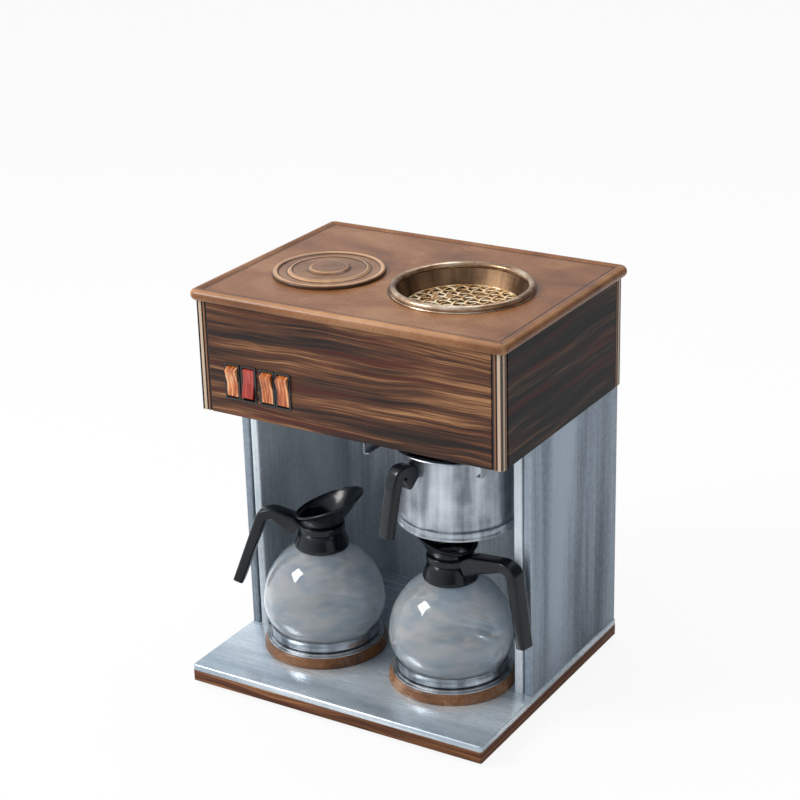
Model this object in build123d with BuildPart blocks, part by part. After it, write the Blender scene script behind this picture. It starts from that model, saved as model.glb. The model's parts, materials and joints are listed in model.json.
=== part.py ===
"""Low pour-over coffee brewer with two warmers below, one on top, and two glass decanters.

Millimetres. +Z up, front towards -Y, origin at the middle of the footprint on the counter.
"""
from build123d import *
from math import cos, radians, sin, sqrt, tan
import os

os.makedirs("parts", exist_ok=True)

# ---- overall sizes ----
WIDTH = 412.0            # base and head, side to side
BASE_DEPTH = 360.0       # base, front to back
HEAD_SETBACK = 57.0      # head front behind base front
COLUMN_SETBACK = 130.0   # side panel front behind base front
ALCOVE_GAP = 23.0        # alcove back wall to the back of the machine
DECK_TOP = 28.0
HEAD_BOTTOM = 352.0
HEAD_TOP = 492.0
SHEET = 1.2              # stainless sheet
CLEAR = 0.3              # gap between parts that lift or slide apart
FIT = 0.05               # radial running clearance of a pin in its hole

# ---- base ----
FOOT_HEIGHT = 4.0
FOOT_R = 13.0
FOOT_INSET = 34.0
BAND_WALL = 12.0         # wood band around the base
SKIRT = 7.5              # folded edge of the deck
SCREW_R = 2.0

# ---- warmers ----
WARMER_SPACING = 185.0   # left axis to right axis
WARMER_SETBACK = 133.0   # axes behind base front
RING_R = 78.5
RING_HEIGHT = 13.0
PLATE_R = 70.0           # raised landing for the decanter
PLATE_LIFT = 16.0        # landing above the deck
ELEMENT_R = 55.0
STUD_R = 3.0

# ---- column ----
COLUMN_INSET = 2.0       # side panel inside the base edge
FLANGE = 11.0            # folded front edge of each sheet
GROOVE = 2.0             # gap between the two folded edges
RETURN = 9.0             # second fold, back into the wall

GLAND_X, GLAND_Z = 150.0, 70.0    # cord gland in the rear panel
GLAND_BORE, GLAND_BARREL, GLAND_FLANGE = 5.0, 8.0, 12.0

# ---- head ----
PANEL = 3.0
TRIM = 14.0              # face width of a corner trim
TONGUE = 8.0             # trim tongue behind each panel
FLOOR = 2.0
PAN_OVERHANG = 8.0
PAN_HEIGHT = 14.0
PAN_LIP = 12.0
PAN_DISH = 2.0
PAN_SHEET = 2.0
PAN_CORNER = 8.0
PAN_ROUND = 5.5

# ---- pour-in basin and upper warmer ----
BASIN_X, BASIN_Y = 76.0, 17.0
BASIN_R = 77.5           # inside the rim
RIM_WIDTH = 9.0
RIM_HEIGHT = 8.0
BASIN_DEPTH = 32.0       # rim foot to drain
SCREEN_R = 68.5
SCREEN_DROP = 20.0       # rim foot to screen seat
SCREEN_WIRE = 1.6
SCREEN_BARS = 11
UPPER_X, UPPER_Y = -100.0, 1.0
UPPER_R = 69.5
UPPER_STEP = 2.1         # rise of each ring of the upper warmer

# ---- tank and plumbing ----
TANK_LEFT = -170.0
TANK_FRONT_GAP, TANK_BACK_GAP = 38.0, 25.0    # head front and head back to the tank
TANK_WIDTH, TANK_HEIGHT = 170.0, 90.0
TANK_FLANGE = 10.0
GASKET = 1.5
BOLT_R = 2.0
HEATER_R = 4.0
BULB_R = 3.0
TUBE_R, TUBE_WALL = 5.0, 1.0
TUBE_BEND = 9.0
TUBE_RISE = 12.0         # tube centre line above the tank lid
SPRAY_R = 22.0

# ---- switches ----
SWITCH_X = (-159.0, -135.5, -109.0, -86.5)
SWITCH_IN = (False, True, False, False)   # True where the top half is pressed in
SWITCH_Z = HEAD_BOTTOM + 44.0
BEZEL_W, BEZEL_H, BEZEL_T = 21.5, 46.0, 1.5
POCKET_W, POCKET_H, POCKET_D = 16.4, 41.8, 14.0
SWITCH_WALL = 1.4
SWITCH_DEPTH = 20.0
ROCKER_SIDE_GAP = 0.3
ROCKER_END_GAP = 0.4
ROCKER_FACE = 11.5       # pivot to the corner of a rocker face
ROCKER_TILT = 8.0        # each way from level
PIVOT_R = 1.5

# ---- brew funnel ----
FUNNEL_R = 70.0
FUNNEL_RIM_R = FUNNEL_R + 6.0
FUNNEL_TOP = HEAD_BOTTOM - 11.5
FUNNEL_BOTTOM = FUNNEL_TOP - 100.5
FUNNEL_BAND_R, FUNNEL_BAND_H = FUNNEL_R + 3.5, 12.0
FUNNEL_GRIP = 18.0
FUNNEL_HEADING = -108.0  # direction of its handle
RAIL_DEPTH = 161.0
RACK_WIRE = 1.5
BREW_OFFSET = (7.0, 8.0)    # funnel axis right of and behind the right decanter's axis

# ---- decanters ----
DECANTER_HEADINGS = {"left": -162.0, "right": -11.0}
HANDLE_REACH = {"left": 81.0, "right": 104.0}    # axis to the bend of the handle
GRIP_REACH = {"left": 118.0, "right": 120.0}     # axis to the tip of the grip
CUP_R, CUP_H = 69.0, 14.0
GLASS_WALL = 2.2
GLASS_OUTLINE = ((66.5, 14), (75, 30), (77, 48), (71.5, 74), (56.5, 99), (41, 112.5),
                 (30, 119.5), (27, 125))
GLASS_MOUTH = (26.5, 132)
COLLAR_R = 34.0
WAIST_R = 26.0
COLLAR_WALL = 2.5
# heights above the cup's foot: collar foot, waist, top of the waist, middle of the mouth
COLLAR_FOOT, COLLAR_WAIST, COLLAR_NECK, MOUTH_MID = 119.0, 141.0, 150.0, 175.0
MOUTH_LONG, MOUTH_WIDE = 46.0, 39.0    # half the mouth, along and across the spout
MOUTH_TILT = 20.5
MOUTH_SHIFT = 11.0       # mouth centre towards the spout
GRIP_WIDTH = 20.0

# ---- places worked out from the sizes above ----
front = -(BASE_DEPTH + PAN_OVERHANG) / 2
back = front + BASE_DEPTH
head_front = front + HEAD_SETBACK
head_mid = (head_front + back) / 2
column_front = front + COLUMN_SETBACK
column_x = WIDTH / 2 - COLUMN_INSET
liner_x = column_x - 2 * FLANGE - GROOVE
liner_back = back - ALCOVE_GAP
band_top = DECK_TOP - SKIRT
ring_top = DECK_TOP + RING_HEIGHT
landing = DECK_TOP + PLATE_LIFT
pan_field = HEAD_TOP + PAN_HEIGHT - PAN_DISH
warmer_y = front + WARMER_SETBACK
warmers = {"left": (-WARMER_SPACING / 2, warmer_y), "right": (WARMER_SPACING / 2, warmer_y)}
basin = (BASIN_X, BASIN_Y)
upper = (UPPER_X, UPPER_Y)
brew = (warmers["right"][0] + BREW_OFFSET[0], warmer_y + BREW_OFFSET[1])
floor_top = HEAD_BOTTOM + FLOOR
tank_top = floor_top + TANK_HEIGHT
lid_top = tank_top + GASKET + SHEET
tank_front = head_front + TANK_FRONT_GAP
tank_depth = back - TANK_BACK_GAP - tank_front
tank_mid = (TANK_LEFT + TANK_WIDTH / 2, tank_front + tank_depth / 2)


def save(piece, name):
    """Label a finished piece and write it to its own file."""
    piece.part.label = name
    export_step(piece.part, f"parts/{name}.step")


def upright(centre, heading=0.0):
    """Vertical plane through an axis: local x runs out along the heading, local y is up."""
    c, s = cos(radians(heading)), sin(radians(heading))
    return Plane(origin=(centre[0], centre[1], 0), x_dir=(c, s, 0), z_dir=(s, -c, 0))


def facing(y):
    """Vertical plane across the machine at y, seen from the front: normal -Y."""
    return Plane(origin=(0, y, 0), x_dir=(1, 0, 0), z_dir=(0, -1, 0))


def turned(centre, outline):
    """A piece turned about the vertical axis through centre, from (radius, height) points."""
    with BuildPart() as piece:
        with BuildSketch(upright(centre)):
            with BuildLine():
                Polyline(*outline, close=True)
            make_face()
        revolve(axis=Axis((centre[0], centre[1], 0), (0, 0, 1)))
    return piece


# ---- base: bottom tray, wood band, stainless deck, feet ----
feet_at = [(sx * (WIDTH / 2 - FOOT_INSET), y) for sx in (-1, 1)
           for y in (front + FOOT_INSET, back - FOOT_INSET)]

with BuildPart() as base_bottom:
    with BuildSketch(Plane.XY.offset(FOOT_HEIGHT)):
        with Locations((0, (front + back) / 2)):
            Rectangle(WIDTH - 8, BASE_DEPTH - 8)
        with Locations(*feet_at):
            Circle(SCREW_R, mode=Mode.SUBTRACT)
    extrude(amount=SHEET)
save(base_bottom, "base_bottom")

with BuildPart() as base_band:
    with BuildSketch(Plane.XY.offset(FOOT_HEIGHT + SHEET)):
        with Locations((0, (front + back) / 2)):
            Rectangle(WIDTH, BASE_DEPTH)
            Rectangle(WIDTH - 2 * BAND_WALL, BASE_DEPTH - 2 * BAND_WALL, mode=Mode.SUBTRACT)
    extrude(amount=band_top - FOOT_HEIGHT - SHEET)
save(base_band, "base_band")

with BuildPart() as base_deck:
    with BuildSketch(Plane.XY.offset(band_top)):
        with Locations((0, (front + back) / 2)):
            Rectangle(WIDTH, BASE_DEPTH)
    extrude(amount=SKIRT)
    with BuildSketch(Plane.XY.offset(band_top)):
        with Locations((0, (front + back) / 2)):
            Rectangle(WIDTH - 2 * SHEET, BASE_DEPTH - 2 * SHEET)
    extrude(amount=SKIRT - SHEET, mode=Mode.SUBTRACT)
    with BuildSketch(Plane.XY.offset(DECK_TOP)):
        with Locations(*warmers.values()):
            Circle(STUD_R + CLEAR)
    extrude(amount=-SHEET, mode=Mode.SUBTRACT)
save(base_deck, "base_deck")

foot_recess = FOOT_HEIGHT / 2
with BuildPart() as rubber_feet:
    with BuildSketch():
        with Locations(*feet_at):
            Circle(FOOT_R)
    extrude(amount=FOOT_HEIGHT)
    with BuildSketch():
        with Locations(*feet_at):
            Circle(3 * SCREW_R)
    extrude(amount=foot_recess, mode=Mode.SUBTRACT)
    with BuildSketch():
        with Locations(*feet_at):
            Circle(SCREW_R)
    extrude(amount=FOOT_HEIGHT, mode=Mode.SUBTRACT)
save(rubber_feet, "rubber_feet")

with BuildPart() as foot_screws:
    with BuildSketch(Plane.XY.offset(foot_recess)):
        with Locations(*feet_at):
            Circle(2 * SCREW_R)
    extrude(amount=-foot_recess / 2)
    with BuildSketch(Plane.XY.offset(foot_recess)):
        with Locations(*feet_at):
            Circle(SCREW_R)
    extrude(amount=8.0)
save(foot_screws, "foot_screws")

# ---- the two lower warmers: ring, landing plate, element with its stud, nuts under the deck ----
ring_inner = PLATE_R + 1.0
flange_r = PLATE_R + 4.0
for side, centre in warmers.items():
    warmer_ring = turned(centre, [
        (ring_inner, DECK_TOP), (RING_R, DECK_TOP), (RING_R, DECK_TOP + 5),
        (RING_R - 2.5, ring_top), (ring_inner, ring_top)])
    save(warmer_ring, f"warmer_ring_{side}")

    warmer_plate = turned(centre, [
        (0, landing - 1.5), (PLATE_R - 1.5, landing - 1.5), (PLATE_R - 1.5, ring_top),
        (flange_r, ring_top), (flange_r, ring_top + 1.5), (PLATE_R, ring_top + 1.5),
        (PLATE_R, landing), (0, landing)])
    save(warmer_plate, f"warmer_plate_{side}")

    warmer_element = turned(centre, [
        (0, landing - 1.5), (ELEMENT_R, landing - 1.5), (ELEMENT_R, DECK_TOP + 6),
        (STUD_R, DECK_TOP + 6), (STUD_R, DECK_TOP - 10), (0, DECK_TOP - 10)])
    save(warmer_element, f"warmer_element_{side}")

with BuildPart() as warmer_nuts:
    with BuildSketch(Plane.XY.offset(DECK_TOP - SHEET)):
        with Locations(*warmers.values()):
            RegularPolygon(2 * STUD_R, 6)
            Circle(STUD_R, mode=Mode.SUBTRACT)
    extrude(amount=-4.5)
save(warmer_nuts, "warmer_nuts")

# ---- column: folded side panels, U-shaped alcove liner, rear panel ----
def fold(x, y, width, depth):
    """Sheet strip in plan: centred in x, from y back by depth."""
    with Locations((x, y + depth / 2)):
        Rectangle(width, depth)


rear_inner = back - SHEET
panel_screws_at = [(s * (column_x - FLANGE / 2 - SHEET / 2), z) for s in (-1, 1)
                   for z in (DECK_TOP + 30, (DECK_TOP + HEAD_BOTTOM) / 2, HEAD_BOTTOM - 30)]
for side, s in (("left", -1), ("right", 1)):
    with BuildPart() as side_panel:
        with BuildSketch(Plane.XY.offset(DECK_TOP)):
            fold(s * (column_x - SHEET / 2), column_front, SHEET, back - column_front)
            fold(s * (column_x - FLANGE / 2), column_front, FLANGE, SHEET)
            fold(s * (column_x - FLANGE + SHEET / 2), column_front, SHEET, RETURN)
            fold(s * (column_x - FLANGE / 2), rear_inner, FLANGE, SHEET)
        extrude(amount=HEAD_BOTTOM - DECK_TOP)
        with BuildSketch(facing(back)):
            with Locations(*[(x, z) for x, z in panel_screws_at if x * s > 0]):
                Circle(SCREW_R)
        extrude(amount=SHEET, mode=Mode.SUBTRACT)
    save(side_panel, f"side_panel_{side}")

with BuildPart() as alcove_liner:
    with BuildSketch(Plane.XY.offset(DECK_TOP)):
        for s in (-1, 1):
            fold(s * (liner_x + SHEET / 2), column_front, SHEET, liner_back - column_front)
            fold(s * (liner_x + FLANGE / 2), column_front, FLANGE, SHEET)
            fold(s * (liner_x + FLANGE - SHEET / 2), column_front, SHEET, RETURN)
        fold(0, liner_back - SHEET, 2 * liner_x + SHEET, SHEET)
    extrude(amount=HEAD_BOTTOM - DECK_TOP)
save(alcove_liner, "alcove_liner")

with BuildPart() as rear_panel:
    with BuildSketch(facing(rear_inner)):
        with Locations((0, (DECK_TOP + HEAD_BOTTOM) / 2)):
            Rectangle(2 * (column_x - SHEET), HEAD_BOTTOM - DECK_TOP)
        with Locations(*panel_screws_at):
            Circle(SCREW_R, mode=Mode.SUBTRACT)
        with Locations((GLAND_X, GLAND_Z)):
            Circle(GLAND_BARREL, mode=Mode.SUBTRACT)
    extrude(amount=SHEET)
save(rear_panel, "rear_panel")

with BuildPart() as rear_screws:
    with BuildSketch(facing(back)):
        with Locations(*panel_screws_at):
            Circle(2 * SCREW_R)
    extrude(amount=-SCREW_R)
    with BuildSketch(facing(back)):
        with Locations(*panel_screws_at):
            Circle(SCREW_R)
    extrude(amount=2 * SHEET)
save(rear_screws, "rear_screws")

with BuildPart() as cord_gland:
    with BuildSketch(facing(rear_inner + SHEET)):
        with Locations((GLAND_X, GLAND_Z)):
            Circle(GLAND_BARREL)
    extrude(amount=12.0)
    with BuildSketch(facing(rear_inner)):
        with Locations((GLAND_X, GLAND_Z)):
            Circle(GLAND_FLANGE)
    extrude(amount=-4.0)
    with BuildSketch(facing(back + 20.0)):
        with Locations((GLAND_X, GLAND_Z)):
            Circle(GLAND_BORE)
    extrude(amount=60.0, mode=Mode.SUBTRACT)
save(cord_gland, "cord_gland")

# ---- head: floor, four panels, corner trims, top pan ----
side_inner = WIDTH / 2 - PANEL
with BuildPart() as head_floor:
    with BuildSketch(Plane.XY.offset(HEAD_BOTTOM)):
        with Locations((0, head_mid)):
            Rectangle(2 * side_inner, back - head_front - 2 * PANEL)
        with Locations(brew):
            Circle(TUBE_R + 3 * CLEAR + 2, mode=Mode.SUBTRACT)
    extrude(amount=FLOOR)
save(head_floor, "head_floor")

panel_height = HEAD_TOP - HEAD_BOTTOM
panel_mid_z = (HEAD_TOP + HEAD_BOTTOM) / 2
with BuildPart() as head_front_panel:
    with BuildSketch(facing(head_front)):
        with Locations((0, panel_mid_z)):
            Rectangle(WIDTH - 2 * TRIM, panel_height)
        with Locations(*[(x, SWITCH_Z) for x in SWITCH_X]):
            Rectangle(POCKET_W + 2 * SWITCH_WALL, POCKET_H + 2 * SWITCH_WALL, mode=Mode.SUBTRACT)
    extrude(amount=-PANEL)
save(head_front_panel, "head_front_panel")

with BuildPart() as head_rear_panel:
    with BuildSketch(facing(back - PANEL)):
        with Locations((0, panel_mid_z)):
            Rectangle(WIDTH - 2 * TRIM, panel_height)
    extrude(amount=-PANEL)
save(head_rear_panel, "head_rear_panel")

for side, s in (("left", -1), ("right", 1)):
    with BuildPart() as head_side_panel:
        with BuildSketch(Plane.XY.offset(HEAD_BOTTOM)):
            with Locations((s * (WIDTH - PANEL) / 2, head_mid)):
                Rectangle(PANEL, back - head_front - 2 * TRIM)
        extrude(amount=panel_height)
    save(head_side_panel, f"head_{side}_panel")

with BuildPart() as corner_trims:
    for sx in (-1, 1):
        for corner_y, sy in ((head_front, 1), (back, -1)):
            corner_x = sx * WIDTH / 2
            for start, reach, wall in ((0.0, TRIM, PANEL), (PANEL, TRIM + TONGUE, PANEL + FLOOR)):
                with BuildSketch(Plane.XY.offset(HEAD_BOTTOM if start == 0 else floor_top)):
                    with Locations((corner_x - sx * (start + reach) / 2,
                                    corner_y + sy * (start + wall) / 2)):
                        Rectangle(reach - start, wall - start)
                    with Locations((corner_x - sx * (start + wall) / 2,
                                    corner_y + sy * (start + reach) / 2)):
                        Rectangle(wall - start, reach - start)
                extrude(amount=HEAD_TOP - (HEAD_BOTTOM if start == 0 else floor_top))
save(corner_trims, "corner_trims")

pan_w = WIDTH + 2 * PAN_OVERHANG
pan_d = back - head_front + 2 * PAN_OVERHANG
with BuildPart() as top_pan:
    with BuildSketch(Plane.XY.offset(HEAD_TOP)):
        with Locations((0, head_mid)):
            RectangleRounded(pan_w, pan_d, PAN_CORNER)
    extrude(amount=PAN_HEIGHT)
    ends = top_pan.faces().filter_by(Axis.Z)
    fillet(ends.edges(), radius=PAN_ROUND)
    with BuildSketch(Plane.XY.offset(HEAD_TOP + PAN_HEIGHT)):
        with Locations((0, head_mid)):
            RectangleRounded(pan_w - 2 * PAN_LIP, pan_d - 2 * PAN_LIP, PAN_CORNER / 2)
    extrude(amount=-PAN_DISH, mode=Mode.SUBTRACT)
    with BuildSketch(Plane.XY.offset(HEAD_TOP)):
        with Locations((0, head_mid)):
            Rectangle(pan_w - 2 * PAN_LIP, pan_d - 2 * PAN_LIP)
    extrude(amount=PAN_HEIGHT - PAN_DISH - PAN_SHEET, mode=Mode.SUBTRACT)
    with BuildSketch(Plane.XY.offset(HEAD_TOP)):
        with Locations(basin):
            Circle(BASIN_R + 2.5)
        with Locations(upper):
            Circle(ELEMENT_R)
    extrude(amount=PAN_HEIGHT, mode=Mode.SUBTRACT)
save(top_pan, "top_pan")

# ---- upper warmer ----
upper_plate = turned(upper, [
    (0, pan_field), (UPPER_R, pan_field), (UPPER_R, pan_field + 2 * UPPER_STEP),
    (UPPER_R - 3, pan_field + 2.5 * UPPER_STEP), (UPPER_R - 6, pan_field + 1.5 * UPPER_STEP),
    (48.5, pan_field + 1.5 * UPPER_STEP), (47.5, pan_field + 2.5 * UPPER_STEP),
    (25, pan_field + 2.5 * UPPER_STEP), (24, pan_field + 3.5 * UPPER_STEP), (0, pan_field + 3.5 * UPPER_STEP)])
save(upper_plate, "upper_warmer_plate")

upper_element = turned(upper, [
    (0, pan_field), (ELEMENT_R - 4, pan_field), (ELEMENT_R - 4, pan_field - 10), (0, pan_field - 10)])
save(upper_element, "upper_warmer_element")

# ---- pour-in basin: bowl hung by its flange, raised rim over it, lift-out woven screen ----
flange_out = BASIN_R + RIM_WIDTH - 2
basin_ring = turned(basin, [
    (BASIN_R, pan_field + SHEET), (flange_out, pan_field + SHEET), (flange_out, pan_field),
    (BASIN_R + RIM_WIDTH, pan_field), (BASIN_R + RIM_WIDTH, pan_field + RIM_HEIGHT - 2.5),
    (BASIN_R + RIM_WIDTH - 2.5, pan_field + RIM_HEIGHT), (BASIN_R + 2.5, pan_field + RIM_HEIGHT),
    (BASIN_R, pan_field + RIM_HEIGHT - 2.5)])
save(basin_ring, "basin_ring")

drain = pan_field - BASIN_DEPTH
seat = pan_field - SCREEN_DROP
seat_out = SCREEN_R + 2.5
basin_bowl = turned(basin, [
    (BASIN_R, pan_field + SHEET), (seat_out, seat), (SCREEN_R - 4.5, seat),
    (50, drain + 2.5), (TUBE_R + FIT, drain),
    (TUBE_R + FIT, drain - SHEET), (50, drain + 2.5 - SHEET),
    (SCREEN_R - 4.5 + SHEET / 2, seat - SHEET), (seat_out + SHEET, seat - SHEET),
    (BASIN_R + SHEET, pan_field), (flange_out, pan_field), (flange_out, pan_field + SHEET)])
save(basin_bowl, "basin_bowl")

screen_z = seat + CLEAR
pitch = 2 * SCREEN_R / (SCREEN_BARS + 1)
with BuildPart() as basin_screen:
    with BuildSketch(Plane.XY.offset(screen_z)):
        with Locations(basin):
            Circle(SCREEN_R)
            Circle(SCREEN_R - 2.5, mode=Mode.SUBTRACT)
    extrude(amount=2 * SCREEN_WIRE)
    for i in range(SCREEN_BARS):
        offset_i = (i - (SCREEN_BARS - 1) / 2) * pitch
        half = sqrt((SCREEN_R - 1.5) ** 2 - offset_i ** 2)
        with BuildSketch(Plane.XY.offset(screen_z)):
            with Locations((BASIN_X, BASIN_Y + offset_i)):
                Rectangle(2 * half, SCREEN_WIRE)
        extrude(amount=1.2 * SCREEN_WIRE)
        with BuildSketch(Plane.XY.offset(screen_z + 0.8 * SCREEN_WIRE)):
            with Locations((BASIN_X + offset_i, BASIN_Y)):
                Rectangle(SCREEN_WIRE, 2 * half)
        extrude(amount=1.2 * SCREEN_WIRE)
save(basin_screen, "basin_screen")

# ---- tank, lid and plumbing ----
fill_at = (tank_mid[0] + 60, BASIN_Y)
draw_at = (tank_mid[0] + 60, brew[1])
heater_at = [(tank_mid[0] - 45, tank_mid[1] + dy) for dy in (50, 70)]
bulb_at = (tank_mid[0] - 45, tank_mid[1] - 60)
lid_bolts = [(tank_mid[0] + sx * (TANK_WIDTH / 2 + TANK_FLANGE / 2),
              tank_mid[1] + sy * (tank_depth / 2 - 20)) for sx in (-1, 1) for sy in (-1, 0, 1)]


def plate_on_tank(name, height, thickness, cut):
    """Flat piece the size of the tank flange, with the bolt holes and cut taken out."""
    with BuildPart() as piece:
        with BuildSketch(Plane.XY.offset(height)):
            with Locations(tank_mid):
                Rectangle(TANK_WIDTH + 2 * TANK_FLANGE, tank_depth)
            with Locations(*lid_bolts):
                Circle(BOLT_R, mode=Mode.SUBTRACT)
            cut()
        extrude(amount=thickness)
    save(piece, name)


def tank_mouth():
    with Locations(tank_mid):
        Rectangle(TANK_WIDTH - 2 * SHEET, tank_depth - 2 * SHEET, mode=Mode.SUBTRACT)


def lid_holes():
    with Locations(fill_at, draw_at):
        Circle(TUBE_R + FIT, mode=Mode.SUBTRACT)
    with Locations(*heater_at):
        Circle(HEATER_R + FIT, mode=Mode.SUBTRACT)
    with Locations(bulb_at):
        Circle(BULB_R + FIT, mode=Mode.SUBTRACT)


with BuildPart() as tank:
    with BuildSketch(Plane.XY.offset(floor_top)):
        with Locations(tank_mid):
            Rectangle(TANK_WIDTH, tank_depth)
    extrude(amount=TANK_HEIGHT)
    with BuildSketch(Plane.XY.offset(tank_top - SHEET)):
        with Locations(tank_mid):
            Rectangle(TANK_WIDTH + 2 * TANK_FLANGE, tank_depth)
        with Locations(*lid_bolts):
            Circle(BOLT_R, mode=Mode.SUBTRACT)
    extrude(amount=SHEET)
    with BuildSketch(Plane.XY.offset(floor_top + SHEET)):
        with Locations(tank_mid):
            Rectangle(TANK_WIDTH - 2 * SHEET, tank_depth - 2 * SHEET)
    extrude(amount=TANK_HEIGHT, mode=Mode.SUBTRACT)
save(tank, "tank")
plate_on_tank("tank_gasket", tank_top, GASKET, tank_mouth)
plate_on_tank("tank_lid", tank_top + GASKET, SHEET, lid_holes)

with BuildPart() as tank_lid_screws:
    with BuildSketch(Plane.XY.offset(lid_top)):
        with Locations(*lid_bolts):
            Circle(2 * BOLT_R)
    extrude(amount=BOLT_R)
    with BuildSketch(Plane.XY.offset(lid_top)):
        with Locations(*lid_bolts):
            Circle(BOLT_R)
    extrude(amount=-8.0)
save(tank_lid_screws, "tank_lid_screws")


def pipe(start_plane, *route):
    """Bent tube along straight runs joined by arcs of TUBE_BEND."""
    with BuildPart() as piece:
        with BuildLine() as path:
            FilletPolyline(*route, radius=TUBE_BEND)
        with BuildSketch(start_plane):
            Circle(TUBE_R)
            Circle(TUBE_R - TUBE_WALL, mode=Mode.SUBTRACT)
        sweep(path=path.wires()[0])
    return piece


def start_at(x, y, z, up):
    return Plane(origin=(x, y, z), x_dir=(1, 0, 0), z_dir=(0, 0, up))


run_z = lid_top + TUBE_RISE
tank_floor = floor_top + SHEET
fill_tube = pipe(start_at(*basin, drain, -1), (*basin, drain), (*basin, run_z),
                 (*fill_at, run_z), (*fill_at, tank_floor + 15))
save(fill_tube, "fill_tube")

stem_base = HEAD_BOTTOM - 5.0
hot_water_tube = pipe(start_at(*draw_at, tank_top - 6, 1), (*draw_at, tank_top - 6),
                      (*draw_at, run_z), (*brew, run_z), (*brew, stem_base + 3))
save(hot_water_tube, "hot_water_tube")

spray_head = turned(brew, [
    (0, stem_base - 4), (SPRAY_R, stem_base - 4), (SPRAY_R, stem_base), (TUBE_R + 2, stem_base),
    (TUBE_R + 2, floor_top + 10), (TUBE_R + FIT, floor_top + 10), (TUBE_R + FIT, stem_base + 3),
    (0, stem_base + 3)])
save(spray_head, "spray_head")

with BuildPart() as tank_heater:
    (x0, y0), (x1, y1) = heater_at
    low = tank_floor + 20
    with BuildLine() as loop:
        FilletPolyline((x0, y0, lid_top), (x0, y0, low), (x1, y1, low), (x1, y1, lid_top),
                       radius=(y1 - y0) / 2 - 1)
    with BuildSketch(start_at(x0, y0, lid_top, -1)):
        Circle(HEATER_R)
    sweep(path=loop.wires()[0])
    with BuildSketch(Plane.XY.offset(lid_top)):
        with Locations((x0, (y0 + y1) / 2)):
            Rectangle(24, 40)
    extrude(amount=5)
save(tank_heater, "tank_heater")

with BuildPart() as thermostat:
    with BuildSketch(Plane.XY.offset(lid_top)):
        with Locations(bulb_at):
            Rectangle(34, 34)
    extrude(amount=24)
    with BuildSketch(Plane.XY.offset(lid_top)):
        with Locations(bulb_at):
            Circle(BULB_R)
    extrude(amount=-60)
save(thermostat, "thermostat")

with BuildPart() as limit_thermostat:
    with BuildSketch(facing(tank_front)):
        with Locations((tank_mid[0] + 60, floor_top + TANK_HEIGHT / 2)):
            Circle(12)
    extrude(amount=8)
save(limit_thermostat, "limit_thermostat")

with BuildPart() as terminal_block:
    with BuildSketch(Plane.XY.offset(floor_top)):
        with Locations((GLAND_X, back - 45)):
            Rectangle(50, 24)
    extrude(amount=18)
save(terminal_block, "terminal_block")

# ---- rocker switches ----
corner_up = POCKET_H / 2 - ROCKER_END_GAP
end_r = corner_up
corner_v = sqrt(end_r ** 2 - ROCKER_FACE ** 2)
tilt = radians(ROCKER_TILT)
centre_u = ROCKER_FACE - corner_v * tan(tilt)
pivot_y = head_front - BEZEL_T + centre_u * cos(tilt)
rocker_w = POCKET_W - 2 * ROCKER_SIDE_GAP

with BuildPart() as switch_housings:
    for x in SWITCH_X:
        with BuildSketch(facing(head_front)):
            with Locations((x, SWITCH_Z)):
                RectangleRounded(BEZEL_W, BEZEL_H, 1.5)
        extrude(amount=BEZEL_T)
        with BuildSketch(facing(head_front)):
            with Locations((x, SWITCH_Z)):
                Rectangle(POCKET_W + 2 * SWITCH_WALL, POCKET_H + 2 * SWITCH_WALL)
        extrude(amount=-SWITCH_DEPTH)
        with BuildSketch(facing(head_front - BEZEL_T)):
            with Locations((x, SWITCH_Z)):
                Rectangle(POCKET_W, POCKET_H)
        extrude(amount=-POCKET_D, mode=Mode.SUBTRACT)
        with BuildSketch(Plane(origin=(x, pivot_y, SWITCH_Z), z_dir=(1, 0, 0))):
            Circle(PIVOT_R + FIT)
        extrude(amount=POCKET_W / 2 + SWITCH_WALL, both=True, mode=Mode.SUBTRACT)
save(switch_housings, "switch_housings")


def on_end(v_sign, lean):
    """Point of the rocker end arc, lean degrees forward of straight up or down."""
    return (-end_r * sin(radians(lean)), v_sign * end_r * cos(radians(lean)))


for number, (x, pressed) in enumerate(zip(SWITCH_X, SWITCH_IN), start=1):
    turn = -tilt if pressed else tilt
    rocker_plane = Plane(origin=(x, pivot_y, SWITCH_Z), x_dir=(0, cos(turn), sin(turn)),
                         z_dir=(1, 0, 0))
    with BuildPart() as rocker:
        with BuildSketch(rocker_plane):
            with BuildLine():
                Polyline((-ROCKER_FACE, corner_v), (-centre_u, 0), (-ROCKER_FACE, -corner_v))
                ThreePointArc((-ROCKER_FACE, -corner_v), on_end(-1, 18), on_end(-1, 3))
                Line(on_end(-1, 3), on_end(1, 3))
                ThreePointArc(on_end(1, 3), on_end(1, 18), (-ROCKER_FACE, corner_v))
            make_face()
            Circle(2 * PIVOT_R)
        extrude(amount=rocker_w / 2, both=True)
        with BuildSketch(rocker_plane):
            Circle(PIVOT_R)
        extrude(amount=POCKET_W / 2 + SWITCH_WALL - CLEAR, both=True)
    save(rocker, f"rocker_{number}")

# ---- brew funnel and its rails ----
rim_low = FUNNEL_TOP - 1.5
rail_top = rim_low - CLEAR
web_x = FUNNEL_RIM_R + 1.0
with BuildPart() as funnel_rails:
    for s in (-1, 1):
        with BuildSketch(Plane.XY.offset(rail_top - SHEET)):
            with Locations((brew[0] + s * (web_x + SHEET / 2), head_front + 2 + RAIL_DEPTH / 2)):
                Rectangle(SHEET, RAIL_DEPTH)
        extrude(amount=HEAD_BOTTOM - rail_top + SHEET)
        with BuildSketch(Plane.XY.offset(rail_top - SHEET)):
            with Locations((brew[0] + s * (web_x + FUNNEL_R + 1) / 2,
                            head_front + 2 + RAIL_DEPTH / 2)):
                Rectangle(web_x - FUNNEL_R - 1, RAIL_DEPTH)
        extrude(amount=SHEET)
save(funnel_rails, "funnel_rails")

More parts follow.
